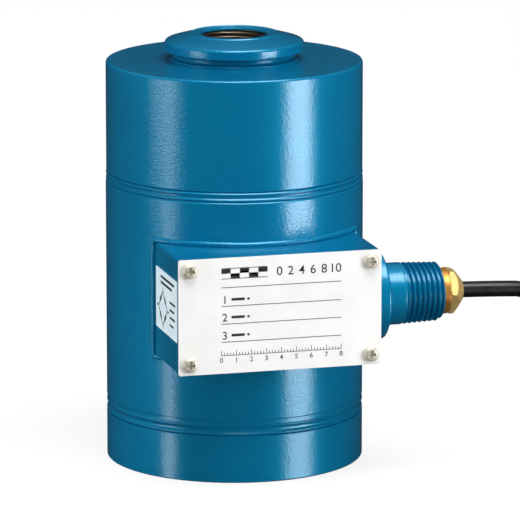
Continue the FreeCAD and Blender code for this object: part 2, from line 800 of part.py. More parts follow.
def terminal_board():
    """The board that joins gauges and cable, held off the case on four standoffs."""
    board = block(
        (-BOARD_WIDTH / 2, BOARD_WIDTH / 2),
        (BOARD_BACK, BOARD_FRONT),
        (BOX_CENTRE_Z - BOARD_HEIGHT / 2, BOX_CENTRE_Z + BOARD_HEIGHT / 2),
    )
    for u, z in board_corners():
        hole_r = BOARD_SCREW_D / 2 + THREAD_CLEARANCE
        board = board.cut(Part.makeCylinder(hole_r, BOARD_THICKNESS, at(u, BOARD_BACK, z), ALONG_V))
    return board


def board_standoffs():
    """The four tapped posts between the case tube and the board."""
    posts = []
    for u, z in board_corners():
        post = Part.makeCylinder(STANDOFF_D / 2, BOARD_BACK, at(u, 0, z), ALONG_V)
        hole_r = BOARD_SCREW_D / 2 + THREAD_CLEARANCE
        depth = BOARD_SCREW_LENGTH - BOARD_THICKNESS
        hole = Part.makeCylinder(hole_r, depth, at(u, BOARD_BACK - depth, z), ALONG_V)
        posts.append(post.cut(case_cylinder(SADDLE_GAP)).cut(hole))
    return Part.makeCompound(posts)


def board_screws():
    """The four small screws of the terminal board."""
    screws = []
    for u, z in board_corners():
        start = BOARD_FRONT - BOARD_SCREW_LENGTH
        shank = Part.makeCylinder(BOARD_SCREW_D / 2, BOARD_SCREW_LENGTH, at(u, start, z), ALONG_V)
        head = Part.makeCylinder(BOARD_SCREW_HEAD_D / 2, BOARD_SCREW_HEAD_HEIGHT, at(u, BOARD_FRONT, z), ALONG_V)
        screws.append(shank.fuse(head).removeSplitter())
    return Part.makeCompound(screws)


def terminal_pins():
    """The solder pins at the board's right edge."""
    u = BOARD_WIDTH / 2 - STANDOFF_INSET - PIN_INSET
    pins = [Part.makeCylinder(PIN_D / 2, PIN_HEIGHT, at(u, BOARD_FRONT, z), ALONG_V) for z in pin_heights()]
    return Part.makeCompound(pins)


def trim_resistors():
    """The balancing resistors on the board's left half."""
    middle = (RESISTOR_COUNT - 1) / 2
    bodies = []
    for index in range(RESISTOR_COUNT):
        z = BOX_CENTRE_Z + (index - middle) * RESISTOR_PITCH
        foot = at(-RESISTOR_LENGTH, BOARD_FRONT + RESISTOR_D / 2, z)
        bodies.append(Part.makeCylinder(RESISTOR_D / 2, RESISTOR_LENGTH, foot, ALONG_U))
    return Part.makeCompound(bodies)


def wire_grommet():
    """The rubber grommet that lines the loom's hole in the case tube."""
    inner = BODY_R - TUBE_WALL
    grommet = Part.makeCylinder(WIRE_HOLE_D / 2, TUBE_WALL + GROMMET_LIP, at(0, inner, BOX_CENTRE_Z), ALONG_V)
    return grommet.cut(Part.makeCylinder(LOOM_D / 2, BODY_R, at(0, FLAT_OFFSET, BOX_CENTRE_Z), ALONG_V))


def gauge_loom():
    """The bundle of gauge wires from the column to the back of the board."""
    start = FLAT_OFFSET + GAUGE_THICKNESS
    return Part.makeCylinder(LOOM_D / 2, BOARD_BACK - start, at(0, start, BOX_CENTRE_Z), ALONG_V)


def tube_along(points, radii, diameter):
    """Sweep a round section along straight runs joined by tangent arcs."""
    wire = Part.Wire(rounded_edges(points, radii, False))
    profile = Part.Wire(Part.makeCircle(diameter / 2, points[0], points[1] - points[0]))
    return wire.makePipeShell([profile], True, False)


def cord_radii(points):
    """Return each corner's arc radius: as large as its two runs allow."""
    radii = [0.0]
    for index in range(1, len(points) - 1):
        before = points[index - 1] - points[index]
        after = points[index + 1] - points[index]
        half_turn = (math.pi - before.getAngle(after)) / 2
        radii.append(ARC_SHARE * min(before.Length, after.Length) / math.tan(half_turn))
    return radii + [0.0]


def cable_cores():
    """The cores from the cable's inner end, round the board's edge, to the terminal pins."""
    middle = (PIN_COUNT - 1) / 2
    pin_u = BOARD_WIDTH / 2 - STANDOFF_INSET - PIN_INSET + PIN_D / 2 + CABLE_CLEARANCE
    edge_u = (CABLE_END_U + BOARD_WIDTH / 2) / 2
    front_v = BOARD_FRONT + PIN_HEIGHT / 2
    cores = []
    for index, pin_z in enumerate(pin_heights()):
        start_z = ENTRY_Z + (index - middle) * CORE_STEP
        middle_z = (start_z + pin_z) / 2
        points = [
            at(CABLE_END_U, ENTRY_V, start_z),
            at(edge_u, ENTRY_V, start_z),
            at(edge_u, front_v, middle_z),
            at(pin_u, front_v, pin_z),
        ]
        cores.append(tube_along(points, cord_radii(points), CORE_D))
    return Part.makeCompound(cores)


def lead_cable():
    """The cable from the gland nut down to the floor and into the coil."""
    points = [Vector(*point) for point in LEAD_ROUTE]
    return tube_along(points, cord_radii(points), CABLE_D)


def coil_centre():
    """Return the point on the floor under the coil's centre."""
    return Vector(COIL_X, COIL_Y, 0)


def section_outline(margin, corner):
    """Return the rounded outline of the coil's section, grown by a margin."""
    low = TIE_THICKNESS - margin
    high = COIL_TOP + margin
    return [
        (COIL_INNER_R - margin, low, corner),
        (COIL_OUTER_R + margin, low, corner),
        (COIL_OUTER_R + margin, high, corner),
        (COIL_INNER_R - margin, high, corner),
    ]


def cable_coil():
    """The outer shape of the wound cable."""
    return lathe(section_outline(0, COIL_CORNER), coil_centre())


def coil_ties():
    """The two straps round the coil, on whose undersides it lies."""
    sweep = math.degrees(TIE_WIDTH / (COIL_MEAN_D / 2))
    ties = []
    for angle in TIE_ANGLES:
        start = angle - sweep / 2
        strap = lathe(section_outline(TIE_THICKNESS, COIL_CORNER + TIE_THICKNESS), coil_centre(), sweep, start)
        hollow = lathe(section_outline(0, COIL_CORNER), coil_centre(), sweep, start)
        ties.append(strap.cut(hollow))
    return Part.makeCompound(ties)


TAIL_LEVEL = COIL_TOP + CABLE_R + SLEEVE_WALL
SLEEVE_START = TAIL_END - SLEEVE_SWEEP / 2
SLEEVE_END = SLEEVE_START + SLEEVE_SWEEP


def ring_section(radius, start, sweep):
    """Turn a round section of the given radius along the middle of the coil's top."""
    circle = Part.makeCircle(radius, Vector(COIL_MEAN_D / 2, 0, TAIL_LEVEL), Vector(0, 1, 0))
    solid = Part.Face(Part.Wire(circle)).revolve(ORIGIN, UP, sweep)
    solid.rotate(ORIGIN, UP, start)
    solid.translate(coil_centre())
    return solid


def cable_tail():
    """The last stretch of cable, lying on top of the coil."""
    return ring_section(CABLE_R, TAIL_START, TAIL_END - TAIL_START)


def cable_sleeve():
    """The shrunk sleeve over the cable's end, from which the cores come out."""
    sleeve = ring_section(CABLE_R + SLEEVE_WALL, SLEEVE_START, SLEEVE_SWEEP)
    return sleeve.cut(ring_section(CABLE_R, SLEEVE_START, TAIL_END - SLEEVE_START))


def on_coil(angle, radius, z):
    """Return the point at an angle and radius about the coil's centre."""
    turn = math.radians(angle)
    return coil_centre() + Vector(radius * math.cos(turn), radius * math.sin(turn), z)


def flying_route(index):
    """Return the points of one flying core, from the sleeve's end down onto the coil."""
    place = index - (len(CORE_NAMES) - 1) / 2
    rest = COIL_TOP + FLYING_D / 2
    mean_r = COIL_MEAN_D / 2
    across, above = BUNDLE_PLACES[index]
    first = on_coil(SLEEVE_END + FAN_START, mean_r + across * FLYING_D, TAIL_LEVEL + above * FLYING_D)
    middle = (TAIL_LEVEL + above * FLYING_D + rest) / 2
    return [first] + [
        on_coil(SLEEVE_END + step, mean_r + place * spread, z)
        for step, spread, z in zip(FAN_STEPS, FAN_SPREAD, (middle, rest, rest))
    ]


def flying_core(index):
    """One insulated core."""
    points = flying_route(index)
    return tube_along(points, cord_radii(points), FLYING_D)


def core_tips():
    """The tinned ends of the flying cores."""
    tips = []
    for index in range(len(CORE_NAMES)):
        points = flying_route(index)
        tips.append(Part.makeCylinder(TIP_D / 2, TIP_LENGTH, points[-1], points[-1] - points[-2]))
    return Part.makeCompound(tips)


def print_cord_figures():
    """Print the lead's arc radii and compare its volume with its section times its length."""
    points = [Vector(*point) for point in LEAD_ROUTE]
    radii = cord_radii(points)
    print("lead arc radii", [round(radius, 1) for radius in radii[1:-1]])
    length = Part.Wire(rounded_edges(points, radii, False)).Length
    print("lead length", round(length, 1))
    ratio = lead_cable().Volume / (math.pi * CABLE_R ** 2 * length)
    print("lead volume over section times length", round(ratio, 4))


BUILDERS = (
    load_button,
    load_column,
    strain_gauges,
    upper_cap,
    neck_seal,
    upper_diaphragm,
    case_tube,
    lower_diaphragm,
    base_cap,
    junction_box,
    box_weld,
    plate_gasket,
    name_plate,
    plate_screws,
    side_label,
    nipple_flange,
    nipple_weld,
    conduit_nipple,
    gland_body,
    gland_bush,
    gland_nut,
    cable_inner,
    cable_cores,
    terminal_board,
    board_standoffs,
    board_screws,
    terminal_pins,
    trim_resistors,
    wire_grommet,
    gauge_loom,
    lead_cable,
    cable_coil,
    coil_ties,
    cable_tail,
    cable_sleeve,
    core_tips,
)

os.makedirs("parts", exist_ok=True)
for builder in BUILDERS:
    builder().exportStep("parts/" + builder.__name__ + ".step")
for index, name in enumerate(CORE_NAMES):
    flying_core(index).exportStep("parts/" + name + ".step")
print_cord_figures()
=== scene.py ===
"""The looks of a canister load cell.

A blue enamelled case with a crowned load button, a welded junction box behind a data plate, a threaded
cable entry with a brass gland, and a lead wound into a coil. Sizes here are in millimetres, and MM
turns them into the frame's metres. +Z is up, the box faces -Y and the lead leaves along +X.
"""

import logging
import math
from dataclasses import dataclass
from enum import Enum
from typing import ClassVar

import bmesh
import bpy
from mathutils import Matrix, Vector, noise


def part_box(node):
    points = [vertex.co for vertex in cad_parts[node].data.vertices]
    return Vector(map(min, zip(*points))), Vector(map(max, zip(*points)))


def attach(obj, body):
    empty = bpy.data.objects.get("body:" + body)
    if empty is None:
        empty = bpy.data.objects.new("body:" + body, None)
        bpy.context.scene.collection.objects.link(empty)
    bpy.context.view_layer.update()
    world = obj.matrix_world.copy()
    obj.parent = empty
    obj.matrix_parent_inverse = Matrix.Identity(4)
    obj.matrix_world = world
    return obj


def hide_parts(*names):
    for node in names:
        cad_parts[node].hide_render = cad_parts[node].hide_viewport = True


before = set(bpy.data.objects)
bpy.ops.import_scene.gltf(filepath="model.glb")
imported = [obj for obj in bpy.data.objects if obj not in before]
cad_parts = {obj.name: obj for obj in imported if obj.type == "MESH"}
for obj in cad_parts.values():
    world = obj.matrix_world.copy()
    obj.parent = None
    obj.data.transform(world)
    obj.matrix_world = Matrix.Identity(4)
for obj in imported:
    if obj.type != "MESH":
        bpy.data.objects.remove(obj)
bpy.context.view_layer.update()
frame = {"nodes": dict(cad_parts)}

LOG = logging.getLogger("load_cell")
MM = 0.001
ROOT = "root"
ORIGIN = Vector((0.0, 0.0, 0.0))
UP = Vector((0.0, 0.0, 1.0))
MERGE = 0.001
CUT = MERGE / 10
CORNER_SHARE = 0.49
SHARP_ANGLE = math.radians(35.0)
WHITE = "#ffffff"
SRGB_KNEE = 0.04045
SRGB_SLOPE = 12.92
SRGB_OFFSET = 0.055
SRGB_POWER = 2.4

NodeTree = bpy.types.NodeTree
Socket = bpy.types.NodeSocket
Work = bmesh.types.BMesh
Rim = list[bmesh.types.BMEdge]
Triple = tuple[float, float, float]


class Way(Enum):
    """How a piece that is made about +Z, its face in the XY plane, is turned into place."""

    UPRIGHT = Matrix.Identity(4)
    ALONG_X = Matrix.Rotation(math.radians(90.0), 4, "Y")
    TO_FRONT = Matrix.Rotation(math.radians(90.0), 4, "X")
    TO_LEFT = Matrix.Rotation(math.radians(-90.0), 4, "Z") @ Matrix.Rotation(math.radians(90.0), 4, "X")


def linear(hex_colour: str) -> tuple[float, float, float, float]:
    """Turn an sRGB hex colour into the linear values that Blender works in.

    Args:
        hex_colour: The colour as "#rrggbb".

    Returns:
        Linear red, green, blue and an alpha of 1.
    """
    channels = []
    for start in (1, 3, 5):
        value = int(hex_colour[start : start + 2], 16) / 255
        if value <= SRGB_KNEE:
            channels.append(value / SRGB_SLOPE)
        else:
            channels.append(((value + SRGB_OFFSET) / (1.0 + SRGB_OFFSET)) ** SRGB_POWER)
    return (*channels, 1.0)


def per_metre(size: float) -> float:
    """Return the texture scale whose features are this many millimetres across."""
    return 1 / (size * MM)


def node_box(node: str) -> tuple[Vector, Vector, Vector]:
    """Return the lowest corner, the highest corner and the middle of a frame's node, in millimetres."""
    low, high = (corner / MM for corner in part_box(node))
    return low, high, (low + high) / 2


def add_object(name: str, data: bpy.types.ID) -> bpy.types.Object:
    """Make an object from its data and link it to the scene."""
    item = bpy.data.objects.new(name, data)
    bpy.context.scene.collection.objects.link(item)
    return item


def fresh_tree(owner: bpy.types.ID) -> NodeTree:
    """Switch on the nodes of a material or of the world, and return its tree with nothing in it."""
    owner.use_nodes = True
    owner.node_tree.nodes.clear()
    return owner.node_tree


def add_node(tree: NodeTree, kind: str, settings: dict, links: dict | None = None) -> bpy.types.Node:
    """Add a shader node with its settings and links.

    Args:
        tree: The material's or the world's node tree.
        kind: Blender's name for the kind of node.
        settings: Values for the node's own properties, or for its input sockets by name or number.
            "stops" holds a colour ramp's (position, colour) pairs.
        links: The output socket that feeds each input socket, by name or number.

    Returns:
        The new node.
    """
    node = tree.nodes.new(kind)
    for name, value in settings.items():
        if name == "stops":
            ramp = node.color_ramp
            while len(ramp.elements) < len(value):
                ramp.elements.new(1.0)
            for element, (position, colour) in zip(ramp.elements, value):
                element.position = position
                element.color = colour
        elif isinstance(name, str) and name in node.bl_rna.properties:
            setattr(node, name, value)
        else:
            node.inputs[name].default_value = value
    for name, socket in (links or {}).items():
        tree.links.new(socket, node.inputs[name])
    return node


def add_cloud(tree: NodeTree, place: Socket, scale: float, detail: float) -> Socket:
    """Add a noise of this scale and level of detail, and return its output socket."""
    node = add_node(tree, "ShaderNodeTexNoise", {"Scale": scale, "Detail": detail}, {"Vector": place})
    return node.outputs["Fac"]


@dataclass(frozen=True)
class Relief:
    """One layer of fine relief on a surface, in millimetres.

    Attributes:
        size: How far apart its features lie.
        height: How tall they stand.
        stretch: How many times longer they are along x, y and z.
    """

    size: float
    height: float
    stretch: tuple[float, float, float] = (1.0, 1.0, 1.0)


@dataclass(frozen=True)
class Finish:
    """A surface finish: a colour that drifts, a gloss that drifts, and layers of relief.

    Attributes:
        name: The material's name.
        colour: The main colour, as sRGB hex.
        drift: The colour that it drifts towards.
        drift_size: The size of the patches of drift, in millimetres.
        roughness: The lowest roughness.
        roughness_spread: How far the roughness rises in patches.
        metallic: How far it reflects as bare metal does, from 0 to 1.
        ior: The index of refraction, 1.5 for most paints and plastics.
        specular: The strength of the gloss, 0.5 for most paints and plastics.
        specular_tint: The colour of the gloss, as sRGB hex.
        coat: The weight of a clear layer on top.
        coat_roughness: The roughness of that layer.
        reliefs: The layers of relief, coarse ones first.

    DRIFT_STOPS are where the noise shows each colour, and GLOSS_BAND is the part of it that the roughness
    follows. The others are the noises' levels of detail.
    """

    DRIFT_STOPS: ClassVar[tuple[float, float]] = (0.35, 0.7)
    GLOSS_BAND: ClassVar[tuple[float, float]] = (0.3, 0.7)
    DRIFT_DETAIL: ClassVar[float] = 3.0
    GLOSS_DETAIL: ClassVar[float] = 4.0
    RELIEF_DETAIL: ClassVar[float] = 2.0

    name: str
    colour: str
    drift: str
    drift_size: float = 8.0
    roughness: float = 0.4
    roughness_spread: float = 0.1
    metallic: float = 0.0
    ior: float = 1.5
    specular: float = 0.5
    specular_tint: str = WHITE
    coat: float = 0.0
    coat_roughness: float = 0.1
    reliefs: tuple[Relief, ...] = ()

    def build(self) -> bpy.types.Material:
        """Make the finish's material.

        Returns:
            The material, with its node tree.
        """
        material = bpy.data.materials.new(self.name)
        tree = fresh_tree(material)
        place = add_node(tree, "ShaderNodeTexCoord", {}).outputs["Object"]
        normal = self.relief(tree, place)
        shader = add_node(
            tree,
            "ShaderNodeBsdfPrincipled",
            {
                "Metallic": self.metallic,
                "IOR": self.ior,
                "Specular IOR Level": self.specular,
                "Specular Tint": linear(self.specular_tint),
                "Coat Weight": self.coat,
                "Coat Roughness": self.coat_roughness,
            },
            {
                "Base Color": self.base_colour(tree, place),
                "Roughness": self.gloss(tree, place),
                "Normal": normal,
                "Coat Normal": normal,
            },
        )
        add_node(tree, "ShaderNodeOutputMaterial", {}, {"Surface": shader.outputs["BSDF"]})
        return material

    def base_colour(self, tree: NodeTree, place: Socket) -> Socket:
        """Return the socket of a colour that drifts slowly between the finish's two."""
        cloud = add_cloud(tree, place, per_metre(self.drift_size), self.DRIFT_DETAIL)
        stops = list(zip(self.DRIFT_STOPS, (linear(self.colour), linear(self.drift))))
        return add_node(tree, "ShaderNodeValToRGB", {"stops": stops}, {"Fac": cloud}).outputs["Color"]

    def gloss(self, tree: NodeTree, place: Socket) -> Socket:
        """Return the socket of a roughness that rises in patches, as handling and dust leave it."""
        cloud = add_cloud(tree, place, per_metre(self.drift_size / 2), self.GLOSS_DETAIL)
        low, high = self.GLOSS_BAND
        highest = self.roughness + self.roughness_spread
        spread = add_node(
            tree,
            "ShaderNodeMapRange",
            {"From Min": low, "From Max": high, "To Min": self.roughness, "To Max": highest},
            {"Value": cloud},
        )
        return spread.outputs["Result"]

    def relief(self, tree: NodeTree, place: Socket) -> Socket:
        """Return the normal that the finish's layers of relief give, each laid over the one before."""
        normal = add_node(tree, "ShaderNodeNewGeometry", {}).outputs["Normal"]
        for layer in self.reliefs:
            scale = Vector([per_metre(layer.size) / stretch for stretch in layer.stretch])
            mapping = add_node(tree, "ShaderNodeMapping", {"Scale": scale}, {"Vector": place})
            grain = add_cloud(tree, mapping.outputs["Vector"], 1.0, self.RELIEF_DETAIL)
            bump = add_node(
                tree,
                "ShaderNodeBump",
                {"Strength": 1.0, "Distance": layer.height * MM},
                {"Height": grain, "Normal": normal},
            )
            normal = bump.outputs["Normal"]
        return normal


@dataclass(frozen=True)
class BlueEnamel(Finish):
    """Gloss enamel sprayed over steel: an even blue whose orange peel breaks up its highlights.

    The gloss coat gives the sharp white bands, and the pigment's tinted gloss under it, a little
    metallic, the broad blue glow that surrounds them.
    """

    name: str = "blue_enamel"
    colour: str = "#0075a2"
    drift: str = "#006e99"
    drift_size: float = 30.0
    roughness: float = 0.42
    roughness_spread: float = 0.04
    metallic: float = 0.25
    specular: float = 1.0
    specular_tint: str = "#00e4ff"
    coat: float = 1.0
    coat_roughness: float = 0.16
    reliefs: tuple[Relief, ...] = (Relief(3.0, 0.02), Relief(0.75, 0.06))


@dataclass(frozen=True)
class MachinedSteel(Finish):
    """Turned alloy steel, bare and lightly oiled: grey with a brown cast and fine turning marks."""

    name: str = "machined_steel"
    colour: str = "#ab9c8a"
    drift: str = "#7f7262"
    drift_size: float = 4.0
    roughness: float = 0.3
    metallic: float = 1.0
    reliefs: tuple[Relief, ...] = (Relief(0.25, 0.006, (60.0, 60.0, 1.0)),)


@dataclass(frozen=True)
class SatinAluminium(Finish):
    """Etched and clear-anodised aluminium sheet: nearly white, satin, with a faint rolling grain."""

    name: str = "satin_aluminium"
    colour: str = "#f7f7f5"
    drift: str = "#f1f1ef"
    drift_size: float = 12.0
    roughness: float = 0.42
    roughness_spread: float = 0.06
    metallic: float = 0.15
    reliefs: tuple[Relief, ...] = (Relief(0.3, 0.003, (30.0, 1.0, 1.0)),)


@dataclass(frozen=True)
class PlatedSteel(Finish):
    """Bright zinc-plated screw steel with a slightly warm cast."""

    name: str = "screw_steel"
    colour: str = "#efeadb"
    drift: str = "#cfc8b4"
    drift_size: float = 1.5
    roughness: float = 0.36
    metallic: float = 0.6
    reliefs: tuple[Relief, ...] = (Relief(0.4, 0.003),)


@dataclass(frozen=True)
class GlandBrass(Finish):
    """Turned brass, darker and more orange than the nut's, as painted shade on the collar."""

    name: str = "gland_brass"
    colour: str = "#eaaa58"
    drift: str = "#c7863c"
    drift_size: float = 2.5
    roughness: float = 0.34
    metallic: float = 0.8
    reliefs: tuple[Relief, ...] = (Relief(0.2, 0.004, (1.0, 30.0, 30.0)),)


@dataclass(frozen=True)
class NutBrass(Finish):
    """Brass made paler than the collar's, as a painted highlight on the nut's flats."""

    name: str = "nut_brass"
    colour: str = "#ffe295"
    drift: str = "#f6c97a"
    drift_size: float = 2.0
    roughness: float = 0.34
    metallic: float = 0.7
    reliefs: tuple[Relief, ...] = (Relief(0.2, 0.004, (1.0, 30.0, 30.0)),)


@dataclass(frozen=True)
class CableJacket(Finish):
    """Extruded black PVC: smooth along its run, with a soft gloss."""

    name: str = "cable_jacket"
    colour: str = "#0d0e10"
    drift: str = "#15171a"
    drift_size: float = 6.0
    roughness: float = 0.3
    ior: float = 1.53
    reliefs: tuple[Relief, ...] = (Relief(1.2, 0.01), Relief(0.3, 0.003))


@dataclass(frozen=True)
class LabelFilm(Finish):
    """Printed polyester film: a pale blue-white with a slight sheen."""

    name: str = "label_film"
    colour: str = "#dcecf3"
    drift: str = "#d3e6ef"
    drift_size: float = 10.0
    roughness: float = 0.45
    ior: float = 1.6
    reliefs: tuple[Relief, ...] = (Relief(1.0, 0.003),)


@dataclass(frozen=True)
class Rubber(Finish):
    """Moulded nitrile rubber: matt black and slightly dusty."""

    name: str = "seal_rubber"
    colour: str = "#17181a"
    drift: str = "#222325"
    drift_size: float = 2.0
    roughness: float = 0.65
    reliefs: tuple[Relief, ...] = (Relief(0.3, 0.01),)


@dataclass(frozen=True)
class Ink(Finish):
    """Screen-printed black ink, thin and flat."""

    name: str = "plate_ink"
    colour: str = "#1a1c20"
    drift: str = "#2b2e34"
    drift_size: float = 0.6
    roughness: float = 0.5
    reliefs: tuple[Relief, ...] = (Relief(0.1, 0.001),)


SMALL_FINISHES = (
    # Polyimide film over metal foil, glass-epoxy laminate under solder mask, and lacquered bobbins.
    Finish("gauge_film", "#b5813a", "#8f6127", 1.0, 0.35, ior=1.7, reliefs=(Relief(0.3, 0.005, (1, 1, 6)),)),
    Finish("board_laminate", "#1f5c3a", "#174a2e", 3.0, 0.35, ior=1.55, reliefs=(Relief(0.5, 0.006),)),
    Finish("resistor_lacquer", "#8fb7c9", "#7ba5b8", 1.0, 0.3, reliefs=(Relief(0.4, 0.006),)),
    # Tinned copper wire, moulded nylon ties and a shrunk polyolefin sleeve.
    Finish("tinned_copper", "#cfc8bd", "#b3a99c", 0.6, 0.28, metallic=1.0, reliefs=(Relief(0.15, 0.01),)),
    Finish("tie_nylon", "#1c1d1f", "#26282a", 2.0, 0.45, ior=1.53, reliefs=(Relief(0.5, 0.008),)),
    Finish("sleeve_film", "#101113", "#1b1c1f", 1.5, 0.42, reliefs=(Relief(0.8, 0.03),)),
    # The cores' extruded insulation.
    *(
        Finish(f"insulation_{name}", colour, drift, 1.0, 0.38, reliefs=(Relief(0.4, 0.004),))
        for name, colour, drift in (
            ("red", "#b3191c", "#981417"),
            ("white", "#e8e6df", "#d9d6cd"),
            ("green", "#1c7a3d", "#176833"),
            ("black", "#141416", "#1f1f22"),
        )
    ),
)
FINISHES = (
    BlueEnamel(),
    MachinedSteel(),
    SatinAluminium(),
    PlatedSteel(),
    GlandBrass(),
    NutBrass(),
    CableJacket(),
    LabelFilm(),
    Rubber(),
    Ink(),
    *SMALL_FINISHES,
)


class Paintshop:
    """Builds each finish once and puts it on pieces."""

    def __init__(self) -> None:
        """Make every finish's material."""
        self.materials = {finish.name: finish.build() for finish in FINISHES}

    def dress_frame(self) -> None:
        """Give each solid of the frame the finish of its own material slot."""
        for name, node in frame["nodes"].items():
            for slot in node.material_slots:
                slot.material = self.materials[slot.material.name.split(".")[0]]
            LOG.info("dressed %s", name)

    def place(
        self, piece: bpy.types.Object, slot: str, replaces: tuple[str, ...] = (), finish: str | None = None
    ) -> None:
        """Dress and link a finished piece, ride it on the cell and hide the frame's nodes that it stands for.

        Args:
            piece: The new object.
            slot: The name of the finish that it takes where finish is not given; otherwise it is not used.
            replaces: The frame's nodes that it stands for.
            finish: The name of its finish, where that isn't the slot's.
        """
        piece.data.materials.clear()
        piece.data.materials.append(self.materials[finish or slot])
        bpy.context.scene.collection.objects.link(piece)
        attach(piece, ROOT)
        if replaces:
            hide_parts(*replaces)
        LOG.info("placed %s", piece.name)


def smooth_step(share: float) -> float:
    """Ease a share from 0 to 1, and hold it there on both sides."""
    share = min(max(share, 0.0), 1.0)
    return share * share * (3.0 - 2.0 * share)


def finish_piece(name: str, work: Work, way: Way, place: Vector) -> bpy.types.Object:
    """Turn a closed mesh into a smooth-shaded object, its normals outwards and its place in its mesh.

    Args:
        name: The piece's name.
        work: The finished mesh, in millimetres about +Z. It is freed.
        way: How it is turned.
        place: Where its origin goes, in millimetres.

    Returns:
        The object, not linked yet.
    """
    bmesh.ops.recalc_face_normals(work, faces=work.faces[:])
    work.transform(Matrix.Scale(MM, 4) @ Matrix.Translation(place) @ way.value)
    mesh = bpy.data.meshes.new(name)
    work.to_mesh(mesh)
    work.free()
    mesh.shade_smooth()
    mesh.set_sharp_from_angle(angle=SHARP_ANGLE)
    piece = bpy.data.objects.new(name, mesh)
    even = piece.modifiers.new("even_normals", "WEIGHTED_NORMAL")
    even.keep_sharp = True
    return piece


def sweep(work: Work, climb: Vector, steps: int, closed: bool) -> None:
    """Sweep an outline once round +Z.

    Args:
        work: The mesh that holds the outline.
        climb: How far each step moves it.
        steps: How many steps the turn has.
        closed: Whether the last step meets the first.
    """
    bmesh.ops.spin(
        work,
        geom=work.verts[:] + work.edges[:],
        cent=ORIGIN,
        axis=UP,
        dvec=climb,
        angle=math.tau,
        steps=steps,
        use_merge=closed,
    )


def rim_at(work: Work, height: float) -> Rim:
    """Return the open edges of a skin that lie at a height."""
    return [
        edge
        for edge in work.edges
        if edge.is_boundary and all(abs(vert.co.z - height) < MERGE for vert in edge.verts)
    ]


def grow_rim(work: Work, rim: Rim, radius: float, height: float) -> Rim:
    """Extrude a round rim to a new radius and height about +Z.

    Args:
        work: The mesh that the rim is part of.
        rim: Its open edges.
        radius: Where the new rim lies.
        height: How high it lies.

    Returns:
        The new rim.
    """
    grown = bmesh.ops.extrude_edge_only(work, edges=rim)["geom"]
    for vert in (item for item in grown if isinstance(item, bmesh.types.BMVert)):
        spoke = Vector((vert.co.x, vert.co.y, 0.0)).normalized()
        vert.co = spoke * radius + UP * height
    return [item for item in grown if isinstance(item, bmesh.types.BMEdge)]


@dataclass
class Turning:
    """A closed section turned about +Z.

    Attributes:
        section: The section's corners: the distance from the axis, the height and the radius that rounds
            each one, in millimetres.
        spokes: How many steps the turn has.
        arc_steps: How many steps a rounded corner has.
    """

    section: list[Triple]
    spokes: int = 144
    arc_steps: int = 6

    def setbacks(self) -> list[float]:
        """Return how far each corner's rounding reaches along the section's sides."""
        places = [Vector((radius, height)) for radius, height, _ in self.section]
        found = []
        for index, (_, _, rounding) in enumerate(self.section):
            before = places[index - 1] - places[index]
            after = places[(index + 1) % len(places)] - places[index]
            half_turn = (math.pi - before.angle(after)) / 2
            longest = CORNER_SHARE * min(before.length, after.length)
            found.append(min(rounding * math.tan(half_turn), longest))
        return found

    def build(self) -> Work:
        """Return the turned mesh, in millimetres."""
        work = bmesh.new()
        corners = [work.verts.new((radius, 0.0, height)) for radius, height, _ in self.section]
        for first, second in zip(corners, corners[1:] + corners[:1]):
            work.edges.new((first, second))
        for corner, setback in zip(corners, self.setbacks()):
            if setback > 0.0:
                bmesh.ops.bevel(
                    work,
                    geom=[corner],
                    offset=setback,
                    offset_type="OFFSET",
                    segments=self.arc_steps,
                    profile=0.5,
                    affect="VERTICES",
                    material=-1,
                )
        sweep(work, ORIGIN, self.spokes, True)
        return work


